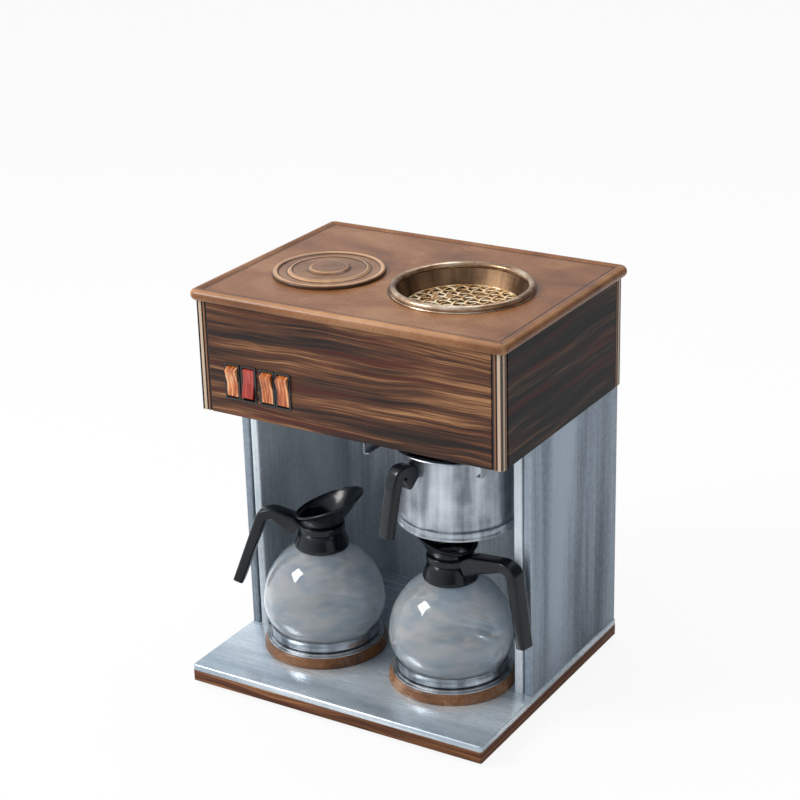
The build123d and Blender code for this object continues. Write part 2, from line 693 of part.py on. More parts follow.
bore = FUNNEL_R - SHEET
drain_r = 4.0
funnel_body = turned(brew, [
    (bore, FUNNEL_TOP), (FUNNEL_RIM_R, FUNNEL_TOP), (FUNNEL_RIM_R, rim_low), (FUNNEL_R, rim_low),
    (FUNNEL_R, FUNNEL_BOTTOM + FUNNEL_BAND_H), (FUNNEL_BAND_R, FUNNEL_BOTTOM + FUNNEL_BAND_H),
    (FUNNEL_BAND_R, FUNNEL_BOTTOM), (FUNNEL_BAND_R - 2, FUNNEL_BOTTOM),
    (FUNNEL_BAND_R - 2, FUNNEL_BOTTOM + 7.5), (drain_r, FUNNEL_BOTTOM + 1.5),
    (drain_r, FUNNEL_BOTTOM + 3.5), (bore, FUNNEL_BOTTOM + 9.5)])
save(funnel_body, "funnel_body")

rack_r = FUNNEL_R - 8
rack_z = FUNNEL_BOTTOM + 10.7
with BuildPart() as funnel_rack:
    with BuildSketch(upright(brew)):
        with Locations((rack_r, rack_z)):
            Circle(RACK_WIRE)
    revolve(axis=Axis((brew[0], brew[1], 0), (0, 0, 1)))
    for i in range(-2, 3):
        half = sqrt(rack_r ** 2 - (22.0 * i) ** 2)
        with BuildSketch(Plane(origin=(brew[0], brew[1] + 22.0 * i, rack_z), z_dir=(1, 0, 0))):
            Circle(RACK_WIRE)
        extrude(amount=half, both=True)
save(funnel_rack, "funnel_rack")


with BuildPart() as funnel_handle:
    z = FUNNEL_TOP - 6.5
    with BuildSketch(upright(brew, FUNNEL_HEADING)):
        with BuildLine():
            Polyline((FUNNEL_R - 2, z), (FUNNEL_R + 24, z + 1), (FUNNEL_R + 30, z - 5),
                     (FUNNEL_R + 49, z - 83), (FUNNEL_R + 36, z - 86), (FUNNEL_R + 20, z - 19),
                     (FUNNEL_R + 9, z - 17), (FUNNEL_R + 6, z - 38), (FUNNEL_R - 2, z - 38),
                     close=True)
        make_face()
    extrude(amount=FUNNEL_GRIP / 2, both=True)
    fillet(funnel_handle.edges().filter_by(lambda e: e.length > 50), radius=3.0)
    with BuildSketch(Plane.XY.offset(FUNNEL_BOTTOM)):
        with Locations(brew):
            Circle(FUNNEL_R)
    extrude(amount=FUNNEL_TOP - FUNNEL_BOTTOM, mode=Mode.SUBTRACT)
save(funnel_handle, "funnel_handle")

# ---- decanters ----
cup_low = landing + CLEAR


def inset(points, wall):
    """The same outline moved inwards, square to its own direction at each point."""
    moved = []
    for i, (r, z) in enumerate(points):
        r0, z0 = points[max(i - 1, 0)]
        r1, z1 = points[min(i + 1, len(points) - 1)]
        run = sqrt((r1 - r0) ** 2 + (z1 - z0) ** 2)
        moved.append((r - wall * (z1 - z0) / run, z + wall * (r1 - r0) / run))
    return moved


def glass_bowl(centre):
    """Blown glass bulb: flat floor in the cup, round shoulder, straight neck in the collar."""
    outer = [(r, cup_low + h) for r, h in GLASS_OUTLINE]
    inner = inset(outer, GLASS_WALL)
    lip_r, lip_z = GLASS_MOUTH[0], cup_low + GLASS_MOUTH[1]
    floor = cup_low + SHEET + 0.8
    with BuildPart() as piece:
        with BuildSketch(upright(centre)):
            with BuildLine():
                Polyline((0, floor), (outer[0][0] - 6, floor), (outer[0][0], floor + 6), outer[0])
                Spline(*outer)
                Polyline(outer[-1], (lip_r, lip_z), (lip_r - GLASS_WALL, lip_z), inner[-1])
                Spline(*inner)
                Polyline(inner[0], (inner[0][0], floor + 7), (outer[0][0] - 7, floor + GLASS_WALL),
                         (0, floor + GLASS_WALL), (0, floor))
            make_face()
        revolve(axis=Axis((centre[0], centre[1], 0), (0, 0, 1)))
    return piece


def steel_cup(centre):
    """Pressed steel cup that the bulb is set in."""
    inner = CUP_R - SHEET
    return turned(centre, [
        (0, cup_low), (CUP_R - 3, cup_low), (CUP_R, cup_low + 3), (CUP_R, cup_low + CUP_H),
        (inner, cup_low + CUP_H), (inner, cup_low + 3.5), (CUP_R - 4, cup_low + SHEET),
        (0, cup_low + SHEET)])


def collar(centre, heading):
    """Moulded collar: skirt over the glass neck, waist, and a flared mouth that leans back."""
    c, s = cos(radians(heading)), sin(radians(heading))
    lean = radians(MOUTH_TILT)
    foot, waist, neck = (cup_low + h for h in (COLLAR_FOOT, COLLAR_WAIST, COLLAR_NECK))
    mouth = Plane(origin=(centre[0] - MOUTH_SHIFT * c, centre[1] - MOUTH_SHIFT * s,
                          cup_low + MOUTH_MID),
                  x_dir=(c * cos(lean), s * cos(lean), -sin(lean)),
                  z_dir=(c * sin(lean), s * sin(lean), cos(lean)))
    neck_plane = Plane(origin=(centre[0], centre[1], neck), x_dir=(c, s, 0), z_dir=(0, 0, 1))
    lip_r = GLASS_MOUTH[0] + 0.7
    throat = WAIST_R - COLLAR_WALL
    with BuildPart() as piece:
        with BuildSketch(neck_plane):
            Circle(WAIST_R)
        with BuildSketch(mouth):
            Ellipse(MOUTH_LONG, MOUTH_WIDE)
        loft()
        with BuildSketch(neck_plane):
            Circle(throat)
        with BuildSketch(mouth):
            Ellipse(MOUTH_LONG - COLLAR_WALL, MOUTH_WIDE - COLLAR_WALL)
        loft(mode=Mode.SUBTRACT)
        with BuildSketch(upright(centre)):
            with BuildLine():
                Polyline((COLLAR_R - COLLAR_WALL, foot), (COLLAR_R, foot), (COLLAR_R, foot + 4),
                         (COLLAR_R - 2.5, foot + 11), (WAIST_R + 3, waist - 3), (WAIST_R, waist),
                         (WAIST_R, neck), (throat, neck), (throat, waist + 1),
                         (throat + 2, waist - 4), (lip_r, waist - 7), (lip_r + 0.5, foot + 6),
                         close=True)
            make_face()
        revolve(axis=Axis((centre[0], centre[1], 0), (0, 0, 1)))
    return piece


def decanter_handle(centre, heading, reach, tip):
    """Band round the waist of the collar, with a cranked arm and a sloping grip."""
    waist, neck = cup_low + COLLAR_WAIST, cup_low + COLLAR_NECK
    z = neck + 4
    with BuildPart() as piece:
        with BuildSketch(upright(centre, heading)):
            with BuildLine():
                Polyline((WAIST_R + 1, waist), (WAIST_R + 1, neck), (WAIST_R + 12, z + 6),
                         (reach - 20, z + 12), (reach - 6, z + 9), (reach, z + 3), (tip, z - 92),
                         (tip - 13, z - 96), (reach - 12, z - 6), (reach - 24, z - 2),
                         (WAIST_R + 20, z - 8), (WAIST_R + 9.5, z - 24), (WAIST_R + 7, waist),
                         close=True)
            make_face()
        extrude(amount=GRIP_WIDTH / 2, both=True)
        fillet(piece.edges().filter_by(lambda e: e.length > 30), radius=3.0)
        with BuildSketch(Plane.XY.offset(waist)):
            with Locations(centre):
                Circle(WAIST_R + 3.5)
        extrude(amount=neck - waist)
        with BuildSketch(Plane.XY.offset(waist - 20)):
            with Locations(centre):
                Circle(WAIST_R)
        extrude(amount=60, mode=Mode.SUBTRACT)
    return piece


for side, heading in DECANTER_HEADINGS.items():
    centre = warmers[side]
    save(steel_cup(centre), f"decanter_{side}_cup")
    save(glass_bowl(centre), f"decanter_{side}_glass")
    save(collar(centre, heading), f"decanter_{side}_collar")
    handle = decanter_handle(centre, heading, HANDLE_REACH[side], GRIP_REACH[side])
    save(handle, f"decanter_{side}_handle")
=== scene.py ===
import json
from math import cos, pi, radians, sin

import bmesh
import bpy
import numpy as np
from mathutils import Matrix, Vector


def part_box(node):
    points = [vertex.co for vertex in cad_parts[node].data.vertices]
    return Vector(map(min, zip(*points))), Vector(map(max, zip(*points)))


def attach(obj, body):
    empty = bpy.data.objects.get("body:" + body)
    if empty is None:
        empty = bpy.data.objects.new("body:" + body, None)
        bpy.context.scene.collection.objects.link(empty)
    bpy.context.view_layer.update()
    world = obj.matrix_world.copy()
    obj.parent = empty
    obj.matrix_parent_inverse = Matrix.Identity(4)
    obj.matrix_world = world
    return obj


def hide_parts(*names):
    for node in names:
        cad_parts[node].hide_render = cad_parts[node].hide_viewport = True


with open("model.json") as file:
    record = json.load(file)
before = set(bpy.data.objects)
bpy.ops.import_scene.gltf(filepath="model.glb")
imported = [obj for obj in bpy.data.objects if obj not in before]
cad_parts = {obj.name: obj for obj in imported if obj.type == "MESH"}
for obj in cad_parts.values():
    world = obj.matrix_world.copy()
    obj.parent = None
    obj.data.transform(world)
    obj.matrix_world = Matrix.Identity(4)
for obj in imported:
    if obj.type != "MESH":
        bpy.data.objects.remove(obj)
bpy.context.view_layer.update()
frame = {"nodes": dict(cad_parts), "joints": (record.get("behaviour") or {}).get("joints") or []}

nodes = frame["nodes"]


# ---- Studio ----
# A pale floor and a white surround. The machine is lit by a broad key lamp from the upper left, a
# weak fill from the right and one above and behind. The surround adds most light from the left.

EYE = (1.1924, -1.9426, 1.2691)
YAW, PITCH, ROLL = 0.552, 0.381, -0.028
FOCAL = 91.1


def camera_matrix(eye, yaw, pitch, roll):
    """Forward from yaw and pitch, right level with the floor, then both turned by the roll."""
    forward = np.array([-sin(yaw) * cos(pitch), cos(yaw) * cos(pitch), -sin(pitch)])
    level = np.array([cos(yaw), sin(yaw), 0.0])
    upright = np.cross(level, forward)
    right = cos(roll) * level + sin(roll) * upright
    up = cos(roll) * upright - sin(roll) * level
    turn = np.column_stack([right, up, -forward])
    return Matrix.Translation(eye) @ Matrix(turn.tolist()).to_4x4()


camera = bpy.data.objects.new("camera", bpy.data.cameras.new("camera"))
camera.data.lens = FOCAL
camera.data.sensor_width = 36.0
camera.data.clip_end = 50.0
camera.matrix_world = camera_matrix(EYE, YAW, PITCH, ROLL)
bpy.context.collection.objects.link(camera)
bpy.context.scene.camera = camera
bpy.context.scene.view_settings.view_transform = "Standard"


def lamp(name, place, target, size, power, colour=(1.0, 1.0, 1.0)):
    """Square area lamp at place, its face towards target."""
    data = bpy.data.lights.new(name, "AREA")
    data.size = size
    data.energy = power
    data.color = colour
    light = bpy.data.objects.new(name, data)
    aim = Vector(place) - Vector(target)
    light.matrix_world = Matrix.Translation(place) @ aim.to_track_quat("Z", "Y").to_matrix().to_4x4()
    bpy.context.collection.objects.link(light)


lamp("key", (-1.7, -1.5, 2.0), (0, 0, 0.28), 1.0, 50, (1.0, 0.98, 0.95))
lamp("fill", (2.6, -1.2, 1.0), (0, 0, 0.25), 1.6, 5, (0.93, 0.97, 1.0))
lamp("top", (0.2, 0.9, 2.4), (0, 0, 0.4), 1.2, 12)


class Value:
    """One shader value. Python's operators on it add Math nodes to its material."""

    def __init__(self, shader, socket):
        self.shader = shader
        self.socket = socket

    def math(self, operation, *others):
        sockets = dict(enumerate((self,) + others))
        return self.shader.make("ShaderNodeMath", {"operation": operation}, sockets)

    def __add__(self, other):
        return self.math("ADD", other)

    def __sub__(self, other):
        return self.math("SUBTRACT", other)

    def __mul__(self, other):
        return self.math("MULTIPLY", other)

    def __truediv__(self, other):
        return self.math("DIVIDE", other)

    def __pow__(self, other):
        return self.math("POWER", other)

    def __rsub__(self, other):
        return self.shader.make("ShaderNodeMath", {"operation": "SUBTRACT"}, {0: other, 1: self})

    __radd__ = __add__
    __rmul__ = __mul__

    def ramp(self, low, high):
        """0 at low, 1 at high, eased between."""
        return self.shader.make("ShaderNodeMapRange", {"interpolation_type": "SMOOTHSTEP"},
                                {"Value": self, "From Min": low, "From Max": high})


class Shader:
    """A material's node tree, with one method that adds any node."""

    def __init__(self, name):
        self.material = bpy.data.materials.new(name)
        self.material.use_nodes = True
        self.tree = self.material.node_tree
        self.tree.nodes.clear()
        self.place = self.make("ShaderNodeTexCoord", out="Object")

    def make(self, kind, settings=None, sockets=None, out=0):
        node = self.tree.nodes.new(kind)
        for key, value in (settings or {}).items():
            if key == "stops":
                ramp = node.color_ramp
                while len(ramp.elements) < len(value):
                    ramp.elements.new(0.5)
                for element, (position, colour) in zip(ramp.elements, value):
                    element.position = position
                    element.color = (*colour, 1.0)
            else:
                setattr(node, key, value)
        for key, value in (sockets or {}).items():
            if isinstance(value, Value):
                self.tree.links.new(value.socket, node.inputs[key])
            elif isinstance(value, tuple) and len(value) == 3 and node.inputs[key].type == "RGBA":
                node.inputs[key].default_value = (*value, 1.0)
            else:
                node.inputs[key].default_value = value
        return Value(self, node.outputs[out])

    def stretched(self, scale, centre=(0.0, 0.0, 0.0), turn=(0.0, 0.0, 0.0)):
        """Object coordinates about centre, turned, and scaled along each axis."""
        moved = self.make("ShaderNodeMapping", {"vector_type": "POINT"}, {
            "Vector": self.place, "Location": tuple(-c for c in centre)})
        turned = self.make("ShaderNodeMapping", {"vector_type": "POINT"}, {
            "Vector": moved, "Rotation": turn})
        return self.make("ShaderNodeMapping", {"vector_type": "POINT"}, {
            "Vector": turned, "Scale": scale})

    def axes(self, vector):
        node = self.tree.nodes.new("ShaderNodeSeparateXYZ")
        self.tree.links.new(vector.socket, node.inputs[0])
        return [Value(self, socket) for socket in node.outputs]

    def joined(self, x, y, z):
        return self.make("ShaderNodeCombineXYZ", None, {0: x, 1: y, 2: z})

    def noise(self, vector, scale=1.0, detail=2.0, rough=0.5, distortion=0.0):
        return self.make("ShaderNodeTexNoise", None, {
            "Vector": vector, "Scale": scale, "Detail": detail, "Roughness": rough,
            "Distortion": distortion}, "Fac")

    def blend(self, mask, low, high):
        """Colour low where mask is 0, high where it is 1."""
        return self.make("ShaderNodeMix", {"data_type": "RGBA"}, {0: mask, 6: low, 7: high}, 2)

    def stops(self, value, *stops):
        return self.make("ShaderNodeValToRGB", {"stops": stops}, {"Fac": value})

    def bump(self, height, strength, distance):
        return self.make("ShaderNodeBump", None, {
            "Height": height, "Strength": strength, "Distance": distance})

    def finish(self, **sockets):
        """Principled surface; keywords are its socket names with underscores for spaces."""
        named = {key.replace("_", " "): value for key, value in sockets.items()}
        surface = self.make("ShaderNodeBsdfPrincipled", None, named)
        self.make_output(surface)
        return self.material

    def make_output(self, surface):
        output = self.tree.nodes.new("ShaderNodeOutputMaterial")
        self.tree.links.new(surface.socket, output.inputs["Surface"])


def surround(low, high):
    """World that is white to the camera; as a light it goes from low to high towards the key."""
    world = bpy.data.worlds.new("surround")
    world.use_nodes = True
    tree = world.node_tree
    background = tree.nodes["Background"]
    path = tree.nodes.new("ShaderNodeLightPath")
    tint = tree.nodes.new("ShaderNodeMix")
    tint.data_type = "RGBA"
    tint.inputs[6].default_value = (0.90, 0.95, 1.0, 1.0)
    tint.inputs[7].default_value = (1.0, 1.0, 1.0, 1.0)
    tree.links.new(path.outputs["Is Camera Ray"], tint.inputs[0])
    tree.links.new(tint.outputs[2], background.inputs["Color"])
    direction = tree.nodes.new("ShaderNodeTexCoord")
    facing = tree.nodes.new("ShaderNodeVectorMath")
    facing.operation = "DOT_PRODUCT"
    facing.inputs[1].default_value = Vector((-0.85, -0.25, 0.45)).normalized()
    tree.links.new(direction.outputs["Generated"], facing.inputs[0])
    level = tree.nodes.new("ShaderNodeMapRange")
    level.interpolation_type = "SMOOTHSTEP"
    for socket, value in (("From Min", -0.35), ("From Max", 0.95), ("To Min", low), ("To Max", high)):
        level.inputs[socket].default_value = value
    tree.links.new(facing.outputs["Value"], level.inputs["Value"])
    strength = tree.nodes.new("ShaderNodeMapRange")
    tree.links.new(path.outputs["Is Camera Ray"], strength.inputs["Value"])
    tree.links.new(level.outputs[0], strength.inputs["To Min"])
    tree.links.new(strength.outputs[0], background.inputs["Strength"])
    bpy.context.scene.world = world


surround(0.2, 1.1)


def mesh_object(name, vertices, faces, smooth=35.0):
    """New object at the origin from vertex and face lists, shaded smooth below an angle."""
    mesh = bpy.data.meshes.new(name)
    mesh.from_pydata(np.asarray(vertices).tolist(), [], [list(f) for f in faces])
    mesh.shade_smooth()
    mesh.set_sharp_from_angle(angle=radians(smooth))
    mesh.update()
    made = bpy.data.objects.new(name, mesh)
    bpy.context.collection.objects.link(made)
    return made


FLOOR_HALF = 6.0
floor = mesh_object("floor", [(x, y, 0.0) for x, y in (
    (-FLOOR_HALF, -FLOOR_HALF), (FLOOR_HALF, -FLOOR_HALF),
    (FLOOR_HALF, FLOOR_HALF), (-FLOOR_HALF, FLOOR_HALF))], [(0, 1, 2, 3)])
backdrop = Shader("backdrop")
lit = backdrop.make("ShaderNodeBsdfDiffuse", None, {"Color": (0.86, 0.86, 0.86)})
glow = backdrop.make("ShaderNodeEmission", None, {"Color": (1.0, 1.0, 1.0), "Strength": 1.0})
camera_ray = backdrop.make("ShaderNodeLightPath", out="Is Camera Ray")
backdrop.make_output(backdrop.make("ShaderNodeMixShader", None,
                                   {0: camera_ray * 0.9, 1: lit, 2: glow}))
floor.data.materials.append(backdrop.material)


# ---- Base deck and band ----
# The deck is one polished stainless sheet with its edge folded down all round. It sits on a band of
# walnut-grain laminate, over a sheet steel tray on four rubber feet.

def rounded_loop(x0, x1, y0, y1, radius, steps=8):
    """Rectangle with quarter-circle corners: (cos t, sin t) times radius about each corner centre."""
    t = np.linspace(0, pi / 2, steps + 1)
    arc = np.column_stack([np.cos(t), np.sin(t)]) * radius
    centres = ((x1 - radius, y1 - radius), (x0 + radius, y1 - radius),
               (x0 + radius, y0 + radius), (x1 - radius, y0 + radius))
    loops = []
    for quarter, centre in enumerate(centres):
        c, s = cos(quarter * pi / 2), sin(quarter * pi / 2)
        loops.append(arc @ np.array([[c, s], [-s, c]]) + centre)
    return np.concatenate(loops)


SHARPEST = 0.0004


def framed(name, box, corner, profile, cap_end=False):
    """A profile of (inset, height) pairs carried round a rounded rectangle.

    Each row is the rectangle moved in by its inset, with the corner radius reduced as much. Rows are
    joined by quads; the cap is one flat face over the last row.
    """
    (x0, y0), (x1, y1) = box
    rows = []
    for inset, height in profile:
        ring = rounded_loop(x0 + inset, x1 - inset, y0 + inset, y1 - inset,
                            max(corner - inset, SHARPEST))
        rows.append(np.column_stack([ring, np.full(len(ring), height)]))
    count = len(rows[0])
    faces = grid_faces(len(rows), count, closed=True)
    if cap_end:
        faces.append(tuple(range((len(rows) - 1) * count, len(rows) * count)))
    return mesh_object(name, np.concatenate(rows), faces)


def grid_faces(rows, count, closed):
    """Quads between rows of count points each; closed joins each row's end to its start."""
    r = np.arange(rows - 1)[:, None] * count
    c = np.arange(count if closed else count - 1)[None, :]
    n = (c + 1) % count
    quads = np.stack([r + c, r + n, r + count + n, r + count + c], axis=-1)
    return [tuple(q) for q in quads.reshape(-1, 4).tolist()]


def bend(centre, radius, start, stop, steps=6):
    """Arc of (inset, height) points about centre, from start to stop degrees."""
    t = np.radians(np.linspace(start, stop, steps))
    return list(zip(centre[0] + radius * np.cos(t), centre[1] + radius * np.sin(t)))


def show(piece, body, slot, material, *replaced):
    """Give a piece its material and body, and hide the CAD nodes that it stands for. The slot is not used.
    """
    piece.data.materials.clear()
    piece.data.materials.append(material)
    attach(piece, body)
    if replaced:
        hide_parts(*replaced)


def finish_nodes(material, *names):
    """Put a material on CAD nodes that stay visible."""
    for name in names:
        slots = nodes[name].data.materials
        for i in range(len(slots)):
            slots[i] = material


BODY = "brewer_body"


def brushed(name, dark, pale, along, rough=0.32, metallic=0.9, mottling=0.5, streak=320.0):
    """Brushed stainless: fine streaks drawn out along one axis over slow pale and dark drifts."""
    s = Shader(name)
    fine = [streak] * 3
    fine[along] = 3.0
    slow = [9.0] * 3
    slow[along] = 1.6
    grain = s.noise(s.stretched(tuple(fine)), 1.0, 3.0, 0.6)
    drift = s.noise(s.stretched(tuple(slow)), 1.0, 3.0, 0.55, 0.6)
    speck = s.noise(s.place, 170.0, 2.0, 0.6)
    tone = grain * 0.35 + drift * (0.55 + mottling) + speck * 0.22 - 0.32 * (1 + mottling)
    colour = s.blend(tone.ramp(0.05, 0.75), dark, pale)
    return s.finish(Base_Color=colour, Metallic=metallic,
                    Roughness=rough + grain * 0.14 + drift * 0.1,
                    Normal=s.bump(grain, 0.16, 0.0004))


deck_lo, deck_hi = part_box("base_deck")
deck_plan = ((deck_lo[0], deck_lo[1]), (deck_hi[0], deck_hi[1]))
FOLD = 0.0022
SHEET = 0.0012
deck_profile = ([(SHEET, deck_lo[2]), (0.0, deck_lo[2])]
                + bend((FOLD, deck_hi[2] - FOLD), FOLD, 180, 90))
deck = framed("base_deck", deck_plan, 0.004, deck_profile, cap_end=True)
deck_steel = brushed("deck_steel", (0.36, 0.43, 0.50), (0.90, 0.96, 1.0), along=0, rough=0.13,
                     metallic=0.62, mottling=0.9)
show(deck, BODY, "deck_steel", deck_steel, "base_deck")


WALNUT_DARK = (0.016, 0.009, 0.008)
WALNUT_MID = (0.120, 0.046, 0.021)
WALNUT_LIGHT = (0.350, 0.170, 0.075)
WALNUT_RED = (0.070, 0.012, 0.008)


def walnut(name, along, across, dark, mid, light, seed=0.0, gloss=0.38):
    """Walnut-grain laminate.

    Height across the grain is pushed up and down by a slow noise, so bands flow in long waves. Broad
    bands and thin lines pick the tone, short dark pores lie along the grain, and some bands are
    stained dark red.
    """
    s = Shader(name)
    x = s.axes(s.place)
    run, rise = x[along], x[across]
    flow = s.noise(s.joined(run * 4.0 + seed, rise * 9.0, seed), 1.0, 2.0, 0.5)
    warped = rise + (flow - 0.5) * 0.034
    drift = s.noise(s.joined(run * 3.0 + seed, warped * 22.0, 2.2), 1.0, 2.0, 0.5)
    broad = s.noise(s.joined(run * 4.0 + seed, warped * 120.0, 1.7), 1.0, 3.0, 0.62, 0.15)
    lines = s.noise(s.joined(run * 7.5 + seed, warped * 400.0, 4.1), 1.0, 3.0, 0.65, 0.1)
    pores = s.noise(s.joined(run * 40.0, warped * 1000.0, 8.3), 1.0, 2.0, 0.5)
    tone = broad * 0.85 + lines * 0.55 + drift * 0.35 - 0.375
    between = tuple((a + b) / 2 for a, b in zip(dark, mid))
    colour = s.stops(tone, (0.34, dark), (0.46, between), (0.54, mid), (0.68, light))
    colour = s.blend(pores.ramp(0.58, 0.74) * 0.6, colour, dark)
    red = s.noise(s.joined(run * 3.5 + seed, warped * 80.0, 6.0), 1.0, 2.0, 0.5)
    colour = s.blend(red.ramp(0.52, 0.66) * 0.75, colour, WALNUT_RED)
    return s.finish(Base_Color=colour, Roughness=gloss + lines * 0.2, Specular_IOR_Level=0.22,
                    Normal=s.bump(lines * 0.7 + pores * 0.3, 0.22, 0.0005))


band_lo, band_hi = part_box("base_band")
EDGE, BAND_WALL = 0.0008, 0.012
band_profile = [(BAND_WALL, band_lo[2]), (EDGE, band_lo[2]), (0.0, band_lo[2] + EDGE),
                (0.0, band_hi[2] - EDGE), (EDGE, band_hi[2]), (BAND_WALL, band_hi[2])]
band = framed("base_band", deck_plan, 0.003, band_profile)
band_wood = walnut("band_wood", 0, 2, (0.07, 0.024, 0.009), (0.24, 0.095, 0.034), (0.46, 0.235, 0.10),
                   2.4)
show(band, BODY, "dark_wood_laminate", band_wood, "base_band")

tray_steel = brushed("tray_steel", (0.2, 0.2, 0.2), (0.45, 0.46, 0.48), along=0, rough=0.45)
finish_nodes(tray_steel, "base_bottom", "foot_screws")


# ---- Feet ----
# Four moulded rubber feet, each held by a screw up through its middle. The moulded skin is a little
# uneven and dull.

def grained_plastic(name, colour, rough, grain=900.0, strength=0.12):
    """Moulded plastic, rubber or casting: one colour, a fine grain and faint rubbed patches."""
    s = Shader(name)
    fine = s.noise(s.place, grain, 2.0, 0.5)
    wear = s.noise(s.place, 22.0, 3.0, 0.6)
    pale = tuple(min(1.0, c * 1.9 + 0.012) for c in colour)
    return s.finish(Base_Color=s.blend(wear.ramp(0.45, 0.75) * 0.6, colour, pale),
                    Roughness=rough + wear * 0.15 - 0.05,
                    Normal=s.bump(fine, strength, 0.0003))


foot_rubber = grained_plastic("foot_rubber", (0.018, 0.018, 0.019), 0.75)
finish_nodes(foot_rubber, "rubber_feet")


# ---- Lower warmers ----
# Each warmer is a flared enamelled ring round a turned steel landing plate, over a cast element whose
# stud and nut hold all three to the deck.

def lathe(name, centre, outline, steps=128, smooth=32.0):
    """Outline of (radius, height) points turned once about the vertical axis through centre.

    Points with radius 0 are made one pole vertex; a closed outline starts and ends at the same point.
    """
    turns = np.linspace(0, 2 * pi, steps, endpoint=False)
    outline = np.asarray(outline, float)
    vertices, rows = [], []
    for radius, height in outline:
        if radius < 1e-7:
            rows.append([len(vertices)])
            vertices.append((centre[0], centre[1], height))
        else:
            rows.append(list(range(len(vertices), len(vertices) + steps)))
            ring = np.column_stack([centre[0] + radius * np.cos(turns),
                                    centre[1] + radius * np.sin(turns),
                                    np.full(steps, height)])
            vertices.extend(map(tuple, ring))
    faces = []
    for low, high in zip(rows[:-1], rows[1:]):
        for i in range(steps):
            j = (i + 1) % steps
            if len(low) > 1 and len(high) > 1:
                faces.append((low[i], low[j], high[j], high[i]))
            elif len(low) > 1:
                faces.append((low[i], low[j], high[0]))
            elif len(high) > 1:
                faces.append((low[0], high[j], high[i]))
    return mesh_object(name, vertices, faces, smooth)


def eased(points, radius=0.0006, steps=4):
    """Outline with each inner corner of a polyline replaced by a short quadratic curve."""
    points = [np.asarray(p, float) for p in points]
    out = [points[0]]
    for before, corner, after in zip(points[:-2], points[1:-1], points[2:]):
        a = corner + (before - corner) * min(0.45, radius / max(np.linalg.norm(before - corner), 1e-9))
        b = corner + (after - corner) * min(0.45, radius / max(np.linalg.norm(after - corner), 1e-9))
        t = np.linspace(0, 1, steps + 1)[:, None]
        out.extend((1 - t) ** 2 * a + 2 * t * (1 - t) * corner + t ** 2 * b)
    out.append(points[-1])
    return out


def enamel(name, dark, mid, light, rough=0.34, scale=7.0, shade_and_highlight=None):
    """Baked enamel: cloudy drift between three browns, fine speckle, slight orange peel.

    The last argument takes the shader and gives two masks: where shade is painted in, and where highlights
    are painted on.
    """
    s = Shader(name)
    cloud = s.noise(s.stretched((scale, scale * 1.4, scale)), 1.0, 4.0, 0.6, 0.5)
    speck = s.noise(s.place, 420.0, 2.0, 0.7)
    peel = s.noise(s.place, 260.0, 1.0, 0.5)
    tone = cloud * 0.9 + speck * 0.3 - 0.1
    colour = s.stops(tone, (0.3, dark), (0.52, mid), (0.75, light))
    if shade_and_highlight:
        painted_shade, painted_highlight = shade_and_highlight(s)
        # Painted shade darkens the colour, then painted highlights lighten it.
        colour = s.blend(painted_shade * 0.85, colour, tuple(c * 0.22 for c in dark))
        colour = s.blend(painted_highlight * (cloud * 0.9 + 0.1), colour, tuple(min(1.0, c * 1.9) for c in light))
    return s.finish(Base_Color=colour, Roughness=rough + cloud * 0.12 - 0.06,
                    Normal=s.bump(peel, 0.06, 0.0004), Specular_IOR_Level=0.3, Coat_Weight=0.06,
                    Coat_Roughness=0.2)


def centre_of(node):
    low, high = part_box(node)
    return ((low[0] + high[0]) / 2, (low[1] + high[1]) / 2)


def turned_steel(name, centre, dark, pale, rough=0.26, rings=2600.0):
    """Lathe-turned or spun steel: fine rings about the axis, and soft radial light and dark fans painted
    into its colour as painted reflections.
    """
    s = Shader(name)
    x, y, z = s.axes(s.stretched((1.0, 1.0, 1.0), (centre[0], centre[1], 0.0)))
    radius = (x * x + y * y) ** 0.5
    ring = s.noise(s.joined(radius * rings, z * rings, 0.0), 1.0, 2.0, 0.5)
    around = s.make("ShaderNodeMath", {"operation": "ARCTAN2"}, {0: y, 1: x})
    # Radial light and dark fans: painted reflections in the colour.
    reflection_fan = s.noise(s.joined(around.math("COSINE") * 2.3, around.math("SINE") * 2.3, z * 3.0),
                  1.0, 3.0, 0.6)
    drift = s.noise(s.place, 26.0, 3.0, 0.6)
    tone = ring * 0.25 + reflection_fan * 1.15 + drift * 0.45 - 0.5
    return s.finish(Base_Color=s.blend(tone.ramp(0.1, 0.75), dark, pale), Metallic=0.92,
                    Roughness=rough + ring * 0.12 + drift * 0.08,
                    Normal=s.bump(ring, 0.1, 0.0002))


ring_enamel = enamel("warmer_ring_enamel", (0.06, 0.024, 0.012), (0.20, 0.085, 0.036),
                     (0.42, 0.25, 0.15), rough=0.25, scale=16.0)
for side in ("left", "right"):
    centre = centre_of(f"warmer_ring_{side}")
    low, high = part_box(f"warmer_ring_{side}")
    outer, foot, top = (high[0] - low[0]) / 2, low[2], high[2]
    inner = outer - 0.0075
    outline = eased([(inner, foot), (outer, foot), (outer, foot + 0.0045), (outer - 0.0014, foot + 0.0075),
                     (outer - 0.003, top - 0.001), (outer - 0.0048, top), (inner, top)], 0.0011)
    ring = lathe(f"warmer_ring_{side}", centre, outline + [(inner, foot)])
    show(ring, BODY, "warmer_ring_enamel", ring_enamel, f"warmer_ring_{side}")

    low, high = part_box(f"warmer_plate_{side}")
    flange, seat, landing = (high[0] - low[0]) / 2, low[2], high[2]
    land = flange - 0.004
    outline = eased([(flange, seat), (flange, seat + 0.0015), (land, seat + 0.0015), (land, landing),
                     (land - 0.004, landing), (land - 0.006, landing - 0.0006),
                     (0.02, landing - 0.0006), (0.0, landing - 0.0006)], 0.0005)
    plate = lathe(f"warmer_plate_{side}", centre, [(0.0, seat), *outline])
    show(plate, BODY, "warmer_steel",
         turned_steel(f"landing_steel_{side}", centre, (0.2, 0.21, 0.23), (0.72, 0.74, 0.77)),
         f"warmer_plate_{side}")

